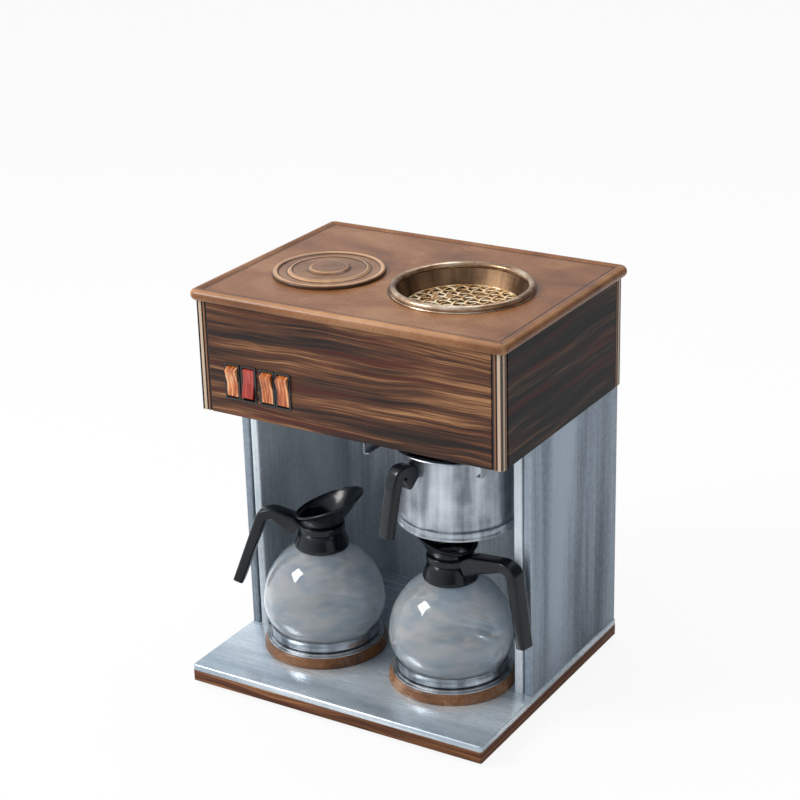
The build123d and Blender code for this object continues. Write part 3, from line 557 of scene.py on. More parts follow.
cast_iron = grained_plastic("cast_element", (0.06, 0.058, 0.055), 0.6, 500.0, 0.4)
finish_nodes(cast_iron, "warmer_element_left", "warmer_element_right", "upper_warmer_element")


# ---- Column ----
# Folded stainless sheet: two side panels and a U-shaped liner, each with its front edge turned in
# twice so that no raw edge shows. A dark groove is left between the two folds on each side.

def folded_sheet(name, path, z0, z1, thickness=SHEET, radius=0.0018, steps=5):
    """Plan line of a sheet with rounded folds, offset half a thickness each way and run from z0 to z1."""
    line = np.array(eased([np.array(p) for p in path], radius, steps))[:, :2]
    ahead = np.gradient(line, axis=0)
    ahead /= np.linalg.norm(ahead, axis=1)[:, None]
    side = np.column_stack([-ahead[:, 1], ahead[:, 0]]) * thickness / 2
    outline = np.concatenate([line + side, (line - side)[::-1]])
    count = len(outline)
    rows = [np.column_stack([outline, np.full(count, z)]) for z in (z0, z1)]
    faces = grid_faces(2, count, closed=True)
    half = count // 2
    for row in (0, 1):
        for i in range(half - 1):
            quad = (i, i + 1, count - 2 - i, count - 1 - i)
            face = tuple(row * count + k for k in quad)
            faces.append(face if row else face[::-1])
    return outward(mesh_object(name, np.concatenate(rows), faces))


def outward(piece):
    """Turn a closed mesh's faces outwards."""
    shell = bmesh.new()
    shell.from_mesh(piece.data)
    bmesh.ops.recalc_face_normals(shell, faces=shell.faces)
    shell.to_mesh(piece.data)
    shell.free()
    return piece


FLANGE, RETURN = 0.011, 0.009
# The side panels' steel is a darker copy of the liner's, painted shade for faces turned from the light;
# the liner's is a lighter copy, painted light in the alcove.
shaded_column_steel = brushed("shaded_column_steel", (0.05, 0.068, 0.09), (0.42, 0.48, 0.55), along=2, rough=0.34,
                       mottling=0.9)
lightened_liner_steel = brushed("lightened_liner_steel", (0.29, 0.345, 0.39), (0.90, 0.95, 1.0), along=2, rough=0.42,
                      metallic=0.1, mottling=0.8)
for side, s in (("left", -1), ("right", 1)):
    low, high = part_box(f"side_panel_{side}")
    outer = (high[0] if s > 0 else low[0]) - s * SHEET / 2
    face, rear = low[1] + SHEET / 2, high[1] - SHEET / 2
    panel = folded_sheet(f"side_panel_{side}", [
        (outer - s * (FLANGE - SHEET), face + RETURN - SHEET), (outer - s * (FLANGE - SHEET), face),
        (outer, face), (outer, rear), (outer - s * (FLANGE - SHEET), rear)], low[2], high[2])
    show(panel, BODY, "stainless", shaded_column_steel, f"side_panel_{side}")

low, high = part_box("alcove_liner")
face, rear = low[1] + SHEET / 2, high[1] - SHEET / 2
reach = high[0] - SHEET / 2
wall = reach - FLANGE + SHEET
route = [(reach, face + RETURN - SHEET), (reach, face), (wall, face), (wall, rear)]
liner = folded_sheet("alcove_liner", route + [(-x, y) for x, y in reversed(route)], low[2], high[2])
show(liner, BODY, "stainless", lightened_liner_steel, "alcove_liner")

rear_steel = brushed("rear_steel", (0.16, 0.18, 0.2), (0.5, 0.53, 0.57), along=2, rough=0.42)
finish_nodes(rear_steel, "rear_panel", "head_floor", "funnel_rails")


# ---- Rear screws and cord gland ----
# Pan-head screws hold the rear panel to the side panels' folds. The gland is a ribbed black bushing
# with a plain hole for the cord.

def facing_back(name, centre, outline, steps=48):
    """Outline of (radius, distance back) points turned about a line along Y through centre."""
    turned = lathe(name, (0.0, 0.0), outline, steps)
    for vertex in turned.data.vertices:
        x, y, z = vertex.co
        vertex.co = (centre[0] + x, centre[1] + z, centre[2] - y)
    turned.data.update()
    return turned


def joined_up(name, pieces):
    """One object from several, in the given order."""
    vertices, faces = [], []
    for piece in pieces:
        mesh = piece.data
        base = len(vertices)
        vertices.extend(tuple(v.co) for v in mesh.vertices)
        faces.extend(tuple(base + k for k in p.vertices) for p in mesh.polygons)
        bpy.data.objects.remove(piece)
    return mesh_object(name, vertices, faces)


low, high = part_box("rear_screws")
HEAD_R, HEAD_H = 0.004, 0.002
skin = high[1] - HEAD_H
heads = []
for x in (low[0] + HEAD_R, high[0] - HEAD_R):
    for z in (low[2] + HEAD_R, (low[2] + high[2]) / 2, high[2] - HEAD_R):
        dome = [(0.0, -0.0012), (HEAD_R / 2, -0.0012), (HEAD_R / 2, 0.0), (HEAD_R, 0.0),
                (HEAD_R, 0.0006), (HEAD_R * 0.85, 0.0014), (HEAD_R * 0.5, HEAD_H),
                (HEAD_R * 0.24, HEAD_H), (HEAD_R * 0.2, HEAD_H * 0.45), (0.0, HEAD_H * 0.4)]
        heads.append(facing_back(f"screw_{len(heads)}", (x, skin, z), dome, 28))
screws = joined_up("rear_screws", heads)
show(screws, BODY, "stainless", rear_steel, "rear_screws")

low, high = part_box("cord_gland")
mid = ((low[0] + high[0]) / 2, (low[2] + high[2]) / 2)
gland_back, gland_r = high[1], (high[0] - low[0]) / 2
GLAND_BORE, GLAND_BARREL = 0.005, 0.008
GLAND_FACE = 0.004
sleeve = [(GLAND_BORE, low[1] - gland_back), (GLAND_BARREL, low[1] - gland_back)]
sleeve += [(GLAND_BARREL, -GLAND_FACE), (gland_r, -GLAND_FACE), (gland_r, -0.001),
           (gland_r - 0.001, 0.0), (GLAND_BORE + 0.0008, 0.0), (GLAND_BORE, -0.0008)]
gland = facing_back("cord_gland", (mid[0], gland_back, mid[1]), sleeve + [sleeve[0]], 64)
black_plastic = grained_plastic("black_plastic", (0.014, 0.014, 0.015), 0.5)
show(outward(gland), BODY, "control_plastic", black_plastic, "cord_gland")
finish_nodes(black_plastic, "thermostat", "limit_thermostat", "terminal_block")


# ---- Head panels ----
# Walnut-grain laminate bonded to sheet steel. The front and rear panels have long flowing figure; the two
# sides are a darker copy of the same laminate, painted shade for the sides turned from the light.

front_wood = walnut("front_wood", 0, 2, WALNUT_DARK, WALNUT_MID, WALNUT_LIGHT)
# Darker copy of the laminate: painted shade on the head's sides.
shaded_side_wood = walnut("shaded_side_wood", 1, 2, (0.006, 0.006, 0.006), (0.026, 0.016, 0.011),
                   (0.13, 0.062, 0.034), 5.2, 0.45)
finish_nodes(front_wood, "head_front_panel", "head_rear_panel")
finish_nodes(shaded_side_wood, "head_left_panel", "head_right_panel")


# ---- Corner trims ----
# Each corner of the head has an extruded strip, reeded on both faces: a metal bead coloured pale as a
# painted highlight, a brown enamelled flat, and a slot before the panel starts that is painted near black
# as painted shade.

TRIM = 0.014
low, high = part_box("corner_trims")
TRIM_WALL = 0.0028
# Share of the trim's face from the corner, and how far that stretch stands from the panel's face.
REEDS = ((0.0, 0.0), (0.07, 0.0), (0.09, -0.0012), (0.15, -0.0012), (0.17, 0.0), (0.46, 0.0),
         (0.48, -0.0014), (0.58, -0.0014), (0.60, -0.0002), (0.76, -0.0002), (0.80, -0.0014),
         (0.97, -0.0014))


def corner_trim(name, corner, sx, sy, z0, z1):
    """Reeded face outline on both sides of a corner, with a flat inside, run from z0 to z1."""
    reeds = [(share * TRIM, drop) for share, drop in REEDS]
    one = [(corner[0] + sx * along, corner[1] - sy * drop) for along, drop in reeds]
    two = [(corner[0] - sx * drop, corner[1] + sy * along) for along, drop in reeds]
    end = TRIM * 0.99
    outline = [(corner[0] + sx * end, corner[1] + sy * TRIM_WALL)] + one[::-1] + two[1:] + [
        (corner[0] + sx * TRIM_WALL, corner[1] + sy * end),
        (corner[0] + sx * TRIM_WALL, corner[1] + sy * TRIM_WALL)]
    count = len(outline)
    rows = [np.column_stack([np.array(outline), np.full(count, z)]) for z in (z0, z1)]
    faces = grid_faces(2, count, closed=True) + [tuple(range(count)), tuple(range(count, 2 * count))]
    return outward(mesh_object(name, np.concatenate(rows), faces, 25.0))


def trim_paint():
    """Painted highlight on the bead, brown flat, painted shade in the slots and along the corner, by
    distance in from the corner on each face.
    """
    s = Shader("trim_strip")
    x, y, z = s.axes(s.place)
    mid_y = (low[1] + high[1]) / 2
    from_side = high[0] - x.math("ABSOLUTE")
    from_end = (high[1] - low[1]) / 2 - (y - mid_y).math("ABSOLUTE")
    inward = from_side.math("MAXIMUM", from_end) / TRIM
    wear = s.noise(s.stretched((60.0, 60.0, 9.0)), 1.0, 3.0, 0.6)
    # The bead's pale colour is a painted highlight; the near black outside the bead and the flat is
    # painted shade in the slots and along the corner.
    bead = (1 - inward.ramp(0.40, 0.50)) * inward.ramp(0.10, 0.17)
    flat = inward.ramp(0.56, 0.60) * (1 - inward.ramp(0.76, 0.80))
    colour = s.blend(flat, (0.012, 0.010, 0.010), (0.20, 0.080, 0.034))
    colour = s.blend(bead * (0.75 + wear * 0.25), colour, (0.62, 0.46, 0.33))
    return s.finish(Base_Color=colour, Roughness=0.3 + wear * 0.2, Metallic=bead * 0.35,
                    Normal=s.bump(wear, 0.08, 0.0004))


strips = [corner_trim(f"trim_{i}", (x, y), sx, sy, low[2], high[2]) for i, (x, y, sx, sy) in enumerate((
    (low[0], low[1], 1, 1), (high[0], low[1], -1, 1), (high[0], high[1], -1, -1),
    (low[0], high[1], 1, -1)))]
trims = outward(joined_up("corner_trims", strips))
trims.data.set_sharp_from_angle(angle=radians(25))
show(trims, BODY, "trim_strip", trim_paint(), "corner_trims")


# ---- Top pan ----
# Brown enamelled pressing with a rolled bullnose lip that stands a little above its flat field and
# overhangs the head all round. The field has a hole for the pour-in basin.

pan_lo, pan_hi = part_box("top_pan")
pan_plan = ((pan_lo[0], pan_lo[1]), (pan_hi[0], pan_hi[1]))
basin_centre = centre_of("basin_ring")
PAN_CORNER = 0.011
LIP = 0.013
DISH = 0.002
field = pan_hi[2] - DISH
crown = (pan_hi[2] - pan_lo[2]) / 2
HOLE_R = 0.080
RIM_FOOT_R = 0.0872
# How far in from the edge the painted highlight on the bullnose runs.
LIP_HIGHLIGHT_IN = 0.0035


def ruled_field(centre, radius, loop, height, rows=14):
    """Flat ring from a circle out to a closed outline, joined along rays from the circle's centre."""
    loop = np.asarray(loop)
    out = loop - centre
    inner = centre + out / np.linalg.norm(out, axis=1)[:, None] * radius
    share = np.linspace(0, 1, rows)[:, None, None]
    grid = inner * (1 - share) + loop * share
    points = np.concatenate([grid, np.full((*grid.shape[:2], 1), height)], axis=2)
    return points.reshape(-1, 3), grid_faces(rows, len(loop), closed=True)


def dense(loop, gap=0.006):
    """Closed outline with long sides cut into steps no longer than gap."""
    out = []
    for a, b in zip(loop, np.roll(loop, -1, axis=0)):
        pieces = max(1, int(np.ceil(np.linalg.norm(b - a) / gap)))
        out.extend(a + (b - a) * k / pieces for k in range(pieces))
    return np.array(out)


lip_profile = [(LIP, field), (LIP - 0.0012, field + 0.0003), (LIP - 0.003, field + DISH * 0.8)]
nose = bend((crown, pan_lo[2] + crown), crown, 90, 270, 19)
lip_profile += nose + [(LIP, pan_lo[2])]
lip_piece = framed("pan_lip", pan_plan, PAN_CORNER, lip_profile)
inner_loop = dense(rounded_loop(pan_lo[0] + LIP, pan_hi[0] - LIP, pan_lo[1] + LIP, pan_hi[1] - LIP,
                                SHARPEST))
points, quads = ruled_field(np.array(basin_centre), HOLE_R, inner_loop, field)
field_piece = mesh_object("pan_field", points, quads)
pan = joined_up("top_pan", [lip_piece, field_piece])


def line_at(distance, place, half):
    """1 on a line at one distance, fading to 0 at half a width to either side."""
    return 1 - ((distance - place).math("ABSOLUTE") / half).ramp(0.1, 1.0)


def pan_shade_and_highlight(s):
    """Painted shade in the corner where the field meets the lip and round the rim's foot; painted
    highlight along the bullnose.
    """
    x, y, z = s.axes(s.place)
    middle = (pan_lo[1] + pan_hi[1]) / 2
    from_side = pan_hi[0] - x.math("ABSOLUTE")
    from_end = (pan_hi[1] - pan_lo[1]) / 2 - (y - middle).math("ABSOLUTE")
    inward = from_side.math("MINIMUM", from_end)
    across, back = x - basin_centre[0], y - basin_centre[1]
    out = (across * across + back * back) ** 0.5
    crease = line_at(inward, LIP + 0.001, 0.0022)
    painted_shade = crease.math("MAXIMUM", line_at(out, RIM_FOOT_R, 0.0024))
    return painted_shade, line_at(inward, LIP_HIGHLIGHT_IN, LIP_HIGHLIGHT_IN) * 0.6


# The pan's enamel gets painted shade in the crease inside the lip and round the basin rim, and a painted
# highlight along the bullnose.
pan_enamel = enamel("pan_enamel", (0.10, 0.032, 0.009), (0.25, 0.095, 0.032), (0.42, 0.225, 0.110),
                    shade_and_highlight=pan_shade_and_highlight)
show(pan, BODY, "brown_enamel", pan_enamel, "top_pan")


# ---- Upper warmer ----
# A pressed disc with a beaded edge and two raised steps, finished in the pan's enamel.

low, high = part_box("upper_warmer_plate")
centre = centre_of("upper_warmer_plate")
edge, foot, top = (high[0] - low[0]) / 2, low[2], high[2]
STEP = (top - foot) / 3.5
outline = eased([
    (0.0, top - 0.0004), (0.006, top - 0.0004), (0.0095, top), (0.0225, top), (0.0255, top - STEP),
    (0.0270, top - 1.35 * STEP), (0.0440, top - 1.35 * STEP), (0.0455, top - 0.9 * STEP),
    (0.0480, top - 0.9 * STEP), (0.0505, top - 2.0 * STEP), (0.0610, top - 2.1 * STEP),
    (0.0635, top - 1.1 * STEP), (0.0675, top - 1.1 * STEP), (edge, top - 1.8 * STEP),
    (edge, foot)], 0.0016, 5)
disc = lathe("upper_warmer", centre, outline[::-1], 160, 60.0)


def disc_shade_and_highlight(s):
    """Painted shade at the foot of each step of the disc and at its edge, painted highlight along the
    tops.
    """
    x, y, z = s.axes(s.stretched((1.0, 1.0, 1.0), (centre[0], centre[1], 0.0)))
    out = (x * x + y * y) ** 0.5
    painted_shade = line_at(out, 0.0695, 0.0016)
    painted_highlight = line_at(out, 0.0655, 0.0026)
    for foot_r, top_r in ((0.0265, 0.0225), (0.0445, 0.0468), (0.0515, 0.0492), (0.0615, 0.0640)):
        painted_shade = painted_shade.math("MAXIMUM", line_at(out, foot_r, 0.0014))
        painted_highlight = painted_highlight.math("MAXIMUM", line_at(out, top_r, 0.0015))
    return painted_shade, painted_highlight


# The disc's enamel gets painted shade at the foot of each step and painted highlights along their tops.
disc_enamel = enamel("disc_enamel", (0.11, 0.042, 0.015), (0.26, 0.118, 0.050), (0.42, 0.25, 0.14),
                     rough=0.3, scale=11.0, shade_and_highlight=disc_shade_and_highlight)
show(disc, BODY, "brown_enamel", disc_enamel, "upper_warmer_plate")


# ---- Pour-in basin ----
# A spun bronze-toned rim stands over the pan's hole and clamps the flange of the bowl under it.

low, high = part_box("basin_ring")
rim_out, rim_low, rim_top = (high[0] - low[0]) / 2, low[2], high[2]
roll = 0.0045
rim_in = rim_out - 2 * roll
RIM_WALL = 0.002
rim_profile = [(rim_out, rim_low), *bend((rim_out - roll, rim_top - roll), roll, -35, 215, 22),
               (rim_in, rim_low + SHEET), (rim_out - RIM_WALL, rim_low + SHEET),
               (rim_out - RIM_WALL, rim_low), (rim_out, rim_low)]
rim = lathe("basin_rim", basin_centre, rim_profile, 160)
rim_bronze = Shader("rim_bronze")
cloud = rim_bronze.noise(rim_bronze.stretched((24.0, 24.0, 60.0)), 1.0, 4.0, 0.6)
tone = rim_bronze.stops(cloud, (0.32, (0.20, 0.105, 0.055)), (0.5, (0.46, 0.31, 0.20)),
                        (0.68, (0.78, 0.66, 0.53)))
rim_metal = rim_bronze.finish(Base_Color=tone, Metallic=0.75, Roughness=0.2 + cloud * 0.14,
                              Normal=rim_bronze.bump(cloud, 0.05, 0.0005))
show(outward(rim), BODY, "bronze_rim", rim_metal, "basin_ring")

low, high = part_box("basin_bowl")
drain, brim = low[2], high[2]
screen_lo, screen_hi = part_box("basin_screen")
seat = screen_lo[2] - 0.0003
screen_r = (screen_hi[0] - screen_lo[0]) / 2
DRAIN_R = 0.0051
inside = eased([(rim_in, brim), (screen_r + 0.0025, seat), (screen_r - 0.0045, seat),
                (0.050, drain + 0.0037), (DRAIN_R, drain + SHEET)], 0.002)
outside = eased([(DRAIN_R, drain), (0.050, drain + 0.0025), (screen_r - 0.0040, seat - SHEET),
                 (screen_r + 0.0035, seat - SHEET), (rim_in + SHEET, brim - SHEET),
                 (rim_out - RIM_WALL, brim - SHEET), (rim_out - RIM_WALL, brim)], 0.002)
bowl = lathe("basin_bowl", basin_centre, list(inside) + list(outside) + [inside[0]], 128)
# A darker copy of the rim's bronze, painted shade for the inside of the basin.
shaded_bowl_bronze = turned_steel("shaded_bowl_bronze", basin_centre, (0.055, 0.034, 0.02), (0.42, 0.25, 0.14), 0.3)
show(outward(bowl), BODY, "bronze_rim", shaded_bowl_bronze, "basin_bowl")


# ---- Pour screen ----
# Flat brass wires woven over and under one another inside a thin ring. It lifts out to be rinsed.

WIRES = 11
WIRE_PITCH = 2 * screen_r / (WIRES + 1)
WIRE_W, WIRE_T = 0.0017, 0.0007
WIRE_POINTS = 90
RING_W = 0.003
weave_mid = (screen_lo[2] + screen_hi[2]) / 2


def tube(path, half_width, half_thickness, steps=8):
    """Flattened round wire along a path, level across, with closed ends."""
    path = np.asarray(path, float)
    ahead = np.gradient(path, axis=0)
    ahead /= np.linalg.norm(ahead, axis=1)[:, None]
    across = np.cross(ahead, (0.0, 0.0, 1.0))
    across /= np.linalg.norm(across, axis=1)[:, None]
    up = np.cross(across, ahead)
    t = np.linspace(0, 2 * pi, steps, endpoint=False)
    ring = (np.cos(t)[None, :, None] * half_width * across[:, None, :]
            + np.sin(t)[None, :, None] * half_thickness * up[:, None, :])
    points = (path[:, None, :] + ring).reshape(-1, 3)
    faces = grid_faces(len(path), steps, closed=True)
    faces += [tuple(range(steps))[::-1], tuple(range(len(points) - steps, len(points)))]
    return points, faces


vertices, faces = [], []
for way in (0, 1):
    for i in range(WIRES):
        offset = (i - (WIRES - 1) / 2) * WIRE_PITCH
        half = ((screen_r - RING_W / 2) ** 2 - offset ** 2) ** 0.5
        run = np.linspace(-half, half, WIRE_POINTS)
        sign = 1 if (i + way) % 2 else -1
        lift = sign * WIRE_T * np.cos(pi * run / WIRE_PITCH)
        path = np.column_stack([run, np.full(WIRE_POINTS, offset), lift])
        if way:
            path = path[:, [1, 0, 2]]
        path += (*basin_centre, weave_mid)
        wire, quads = tube(path, WIRE_W, WIRE_T * 0.85)
        faces.extend(tuple(k + len(vertices) for k in q) for q in quads)
        vertices.extend(map(tuple, wire))
weave = mesh_object("screen_wires", vertices, faces, 60.0)
ring_outline = eased([(screen_r - RING_W, screen_lo[2]), (screen_r, screen_lo[2]),
                      (screen_r, screen_hi[2]), (screen_r - RING_W, screen_hi[2]),
                      (screen_r - RING_W, screen_lo[2])], 0.0007)
screen = outward(joined_up("pour_screen", [weave, lathe("screen_ring", basin_centre, ring_outline)]))
brass = Shader("screen_brass")
patina = brass.noise(brass.place, 95.0, 3.0, 0.6)
screen_brass = brass.finish(
    Base_Color=brass.stops(patina, (0.36, (0.36, 0.17, 0.06)), (0.5, (0.78, 0.54, 0.27)),
                           (0.62, (0.95, 0.82, 0.60))),
    Metallic=0.55, Roughness=0.26 + patina * 0.15, Normal=brass.bump(patina, 0.1, 0.0003))
show(screen, "pour_screen", "screen_wire", screen_brass, "basin_screen")


# ---- Rocker switches ----
# Four snap-in switches in black housings. Each rocker is a glossy moulding, amber or red, with two
# flat faces that meet in a shallow valley at its pivot.

finish_nodes(black_plastic, "switch_housings")

ROCKER_HALF = 0.0079
ROCKER_END_R = 0.0205
# How far the faces stand ahead of the pivot, at the ends of the rocker and at its middle.
ROCKER_FACE, ROCKER_VALLEY = 0.0115, 0.009115
ROCKER_EDGE = 0.0012
ROCKER_TILT = radians(8.0)


def translucent(name, deep, body, pale, glow):
    """Lamp-lit plastic: deep, full and pale streaks up its height, with a little light of its own."""
    s = Shader(name)
    streak = s.noise(s.stretched((330.0, 60.0, 34.0)), 1.0, 3.0, 0.6)
    colour = s.stops(streak, (0.36, deep), (0.52, body), (0.70, pale))
    return s.finish(Base_Color=colour, Roughness=0.22 + streak * 0.1, Coat_Weight=0.25,
                    Emission_Color=colour, Emission_Strength=glow,
                    Normal=s.bump(streak, 0.05, 0.0004))


amber = translucent("amber_plastic", (0.22, 0.034, 0.004), (0.50, 0.120, 0.014), (0.85, 0.47, 0.22), 0.03)
red = translucent("red_plastic", (0.17, 0.007, 0.003), (0.36, 0.022, 0.010), (0.48, 0.07, 0.04), 0.02)


def rocker(name, tilt, pivot):
    """Rocker as a profile in the Y-Z plane carried across its width.

    The profile is two flat faces meeting at a shallow angle, with round ends about the pivot. The
    end rows are drawn in by a quarter circle, which rounds every edge over.
    """
    half, edge = ROCKER_HALF, ROCKER_EDGE
    corner_v = (ROCKER_END_R ** 2 - ROCKER_FACE ** 2) ** 0.5
    v = np.concatenate([np.linspace(-corner_v, 0, 14), np.linspace(0, corner_v, 14)[1:]])
    u = -(ROCKER_VALLEY + (ROCKER_FACE - ROCKER_VALLEY) * np.abs(v) / corner_v)
    lean = np.radians(np.linspace(34.0, 3.0, 7))[1:]
    top = np.column_stack([-ROCKER_END_R * np.sin(lean), ROCKER_END_R * np.cos(lean)])
    profile = np.concatenate([np.column_stack([u, v]), top, (top * (1, -1))[::-1]])
    middle = profile.mean(axis=0)
    rows = []
    turns = np.radians(np.linspace(0, 90, 5))
    widths = ([-half + edge * (1 - sin(a)) for a in turns]
              + list(np.linspace(-half + edge, half - edge, 9))
              + [half - edge * (1 - sin(a)) for a in turns[::-1]])
    for w in widths:
        over = max(0.0, (abs(w) - (half - edge)) / edge)
        pull = edge * (1 - (1 - over ** 2) ** 0.5) if over < 1 else edge
        away = profile - middle
        length = np.linalg.norm(away, axis=1)[:, None]
        shaped = middle + away * (1 - pull / length)
        rows.append(np.column_stack([np.full(len(shaped), w), shaped]))
    grid = np.concatenate(rows)
    c, s = cos(tilt), sin(tilt)
    y = grid[:, 1] * c - grid[:, 2] * s
    z = grid[:, 1] * s + grid[:, 2] * c
    points = np.column_stack([grid[:, 0] + pivot[0], y + pivot[1], z + pivot[2]])
    count = len(profile)
    faces = grid_faces(len(rows), count, closed=True)
    faces += [tuple(range(count)), tuple(range(len(points) - count, len(points)))]
    return outward(mesh_object(name, points, faces, 40.0))


for joint in frame["joints"]:
    if joint["name"].startswith("switch_"):
        number = joint["child"][-1]
        pressed = joint["range_deg"][1] > 0
        tilt = -ROCKER_TILT if pressed else ROCKER_TILT
        piece = rocker(f"rocker_{number}", tilt, joint["pos_m"])
        show(piece, joint["child"], "red_rocker" if pressed else "amber_rocker",
             red if pressed else amber, f"rocker_{number}")


# ---- Brew funnel ----
# Spun stainless cylinder with a rolled rim that rides in the rails and a rolled band at its foot. The
# floor slopes to a drain, and a wire rack keeps the filter off it.

low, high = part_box("funnel_body")
brew = centre_of("funnel_body")
rim_r, foot_z, top_z = (high[0] - low[0]) / 2, low[2], high[2]
WALL_R = 0.070
BAND_R, BAND_H = 0.0735, 0.012
FUNNEL_DRAIN_R = 0.004
outline = [(WALL_R - SHEET, top_z), (rim_r - 0.0005, top_z), (rim_r, top_z - 0.00075),
           (rim_r - 0.0005, top_z - 0.0015), (WALL_R + 0.0008, top_z - 0.0015),
           (WALL_R, top_z - 0.0025), (WALL_R, foot_z + BAND_H + 0.001),
           (WALL_R + 0.0012, foot_z + BAND_H), (BAND_R - 0.0006, foot_z + BAND_H - 0.0008),
           (BAND_R, foot_z + BAND_H - 0.0026), (BAND_R - 0.0012, foot_z + 0.0062),
           (BAND_R - 0.0012, foot_z + 0.0048), (BAND_R, foot_z + 0.0028),
           (BAND_R - 0.0006, foot_z + 0.0006), (BAND_R - 0.002, foot_z),
           (BAND_R - 0.0025, foot_z + 0.006), (FUNNEL_DRAIN_R, foot_z + 0.0015),
           (FUNNEL_DRAIN_R, foot_z + 0.0035), (WALL_R - SHEET, foot_z + 0.0095), (WALL_R - SHEET, top_z)]
body = outward(lathe("funnel_body", brew, outline, 160, 40.0))
spun_steel = turned_steel("spun_steel", brew, (0.05, 0.062, 0.078), (0.70, 0.75, 0.82), 0.2, 1500.0)
show(body, "brew_funnel", "funnel_steel", spun_steel, "funnel_body")
finish_nodes(spun_steel, "funnel_rack", "spray_head")


BAR_SIDES = 36
SQUARENESS = 5.5


def cranked_bar(name, centre, heading, stations, smooth=50.0):
    """Flat-sided bar along a bent line in the vertical plane of its heading.

    Stations are (reach, height, depth, width). Each section is a rounded rectangle, a superellipse
    of power SQUARENESS, square to the line; corners of the line are rounded by a short curve.
    """
    table = np.array(eased([np.array(s) for s in stations], 0.0055, 6))
    line = table[:, :2]
    ahead = np.gradient(line, axis=0)
    ahead /= np.linalg.norm(ahead, axis=1)[:, None]
    side = np.column_stack([-ahead[:, 1], ahead[:, 0]])
    t = np.linspace(0, 2 * pi, BAR_SIDES, endpoint=False)
    power = 2 / SQUARENESS
    a = np.sign(np.cos(t)) * np.abs(np.cos(t)) ** power / 2
    b = np.sign(np.sin(t)) * np.abs(np.sin(t)) ** power / 2
    reach = line[:, 0, None] + side[:, 0, None] * a * table[:, 2, None]
    height = line[:, 1, None] + side[:, 1, None] * a * table[:, 2, None]
    across = b * table[:, 3, None]
    c, s = cos(heading), sin(heading)
    points = np.stack([centre[0] + reach * c - across * s, centre[1] + reach * s + across * c,
                       height], axis=2).reshape(-1, 3)
    faces = grid_faces(len(table), BAR_SIDES, closed=True)
    faces += [tuple(range(BAR_SIDES)), tuple(range(len(points) - BAR_SIDES, len(points)))]
    return outward(mesh_object(name, points, faces, smooth))


def gloss_black(name):
    """Black thermoset plastic, polished, with a soft blue-grey bloom."""
    s = Shader(name)
    bloom = s.noise(s.place, 30.0, 3.0, 0.6)
    fine = s.noise(s.place, 700.0, 2.0, 0.5)
    return s.finish(Base_Color=s.blend(bloom.ramp(0.42, 0.7) * 0.6, (0.003, 0.004, 0.006),
                                       (0.010, 0.015, 0.022)),
                    Roughness=0.12 + bloom * 0.14, Specular_IOR_Level=0.35,
                    Normal=s.bump(fine, 0.06, 0.0002))


handle_black = gloss_black("handle_black")
FUNNEL_HEADING = radians(-108.0)
grip_top = top_z - 0.0145
handle = cranked_bar("funnel_handle", brew, FUNNEL_HEADING, [
    (WALL_R - 0.0002, grip_top - 0.011, 0.034, 0.018), (WALL_R + 0.006, grip_top - 0.006, 0.026, 0.018),
    (WALL_R + 0.012, grip_top, 0.0155, 0.018), (WALL_R + 0.0235, grip_top + 0.0005, 0.0145, 0.018),
    (WALL_R + 0.030, grip_top - 0.016, 0.0145, 0.0178),
    (WALL_R + 0.0425, grip_top - 0.0765, 0.0128, 0.017)])
show(handle, "brew_funnel", "handle_plastic", handle_black, "funnel_handle")


# ---- Decanters ----
# A blown glass bulb cemented into a pressed steel cup. A black moulded collar grips the neck, and the
# handle's band closes round the collar's waist. The mouth flares and rises from handle to spout.

CUP_WALL = SHEET
GLASS_WALL = 0.0022
# Radius and height above the cup's foot of the glass, from inside the cup up to the neck.
BULB = ((0.0665, 0.014), (0.0750, 0.030), (0.0770, 0.048), (0.0715, 0.074), (0.0565, 0.099),
        (0.0410, 0.1125), (0.0300, 0.1195), (0.0270, 0.125), (0.0265, 0.132))
HEADINGS = {"left": radians(-162.0), "right": radians(-11.0)}
HANDLE_REACH = {"left": 0.081, "right": 0.104}
GRIP_REACH = {"left": 0.118, "right": 0.120}
WAIST_R, THROAT_R = 0.026, 0.0235
MOUTH_LONG, MOUTH_WIDE, MOUTH_RISE = 0.046, 0.039, 0.025
MOUTH_LEAN, MOUTH_SHIFT = radians(20.5), 0.011
BEAD_R = 0.0017


def through(points, steps=9):
    """Smooth outline through points: Catmull-Rom curves, each from four neighbours."""
    p = np.array([points[0], *points, points[-1]], float)
    out = []
    for a, b, c, d in zip(p[:-3], p[1:-2], p[2:-1], p[3:]):
        t = np.linspace(0, 1, steps, endpoint=False)[:, None]
        out.extend(0.5 * (2 * b + (c - a) * t + (2 * a - 5 * b + 4 * c - d) * t ** 2
                          + (3 * b - a - 3 * c + d) * t ** 3))
    out.append(p[-1])
    return np.array(out)


def shell_of(outer, wall):
    """Outline moved inwards by a wall, square to its own direction."""
    ahead = np.gradient(outer, axis=0)
    ahead /= np.linalg.norm(ahead, axis=1)[:, None]
    return outer + np.column_stack([-ahead[:, 1], ahead[:, 0]]) * wall


def milky_glass():
    """Blown glass, a little milky, with a cool tint that drifts and slow waves in its surface."""
    s = Shader("decanter_glass")
    wave = s.noise(s.place, 38.0, 2.0, 0.5)
    swirl = s.noise(s.stretched((30.0, 30.0, 90.0)), 1.0, 2.0, 0.5, 0.4)
    return s.finish(Base_Color=s.blend(swirl.ramp(0.30, 0.66), (0.76, 0.86, 0.95), (1.0, 1.0, 1.0)),
                    Roughness=0.02 + wave * 0.02, Transmission_Weight=0.82, IOR=1.5,
                    Normal=s.bump(wave + swirl * 0.25, 0.2, 0.0015))


glass = milky_glass()


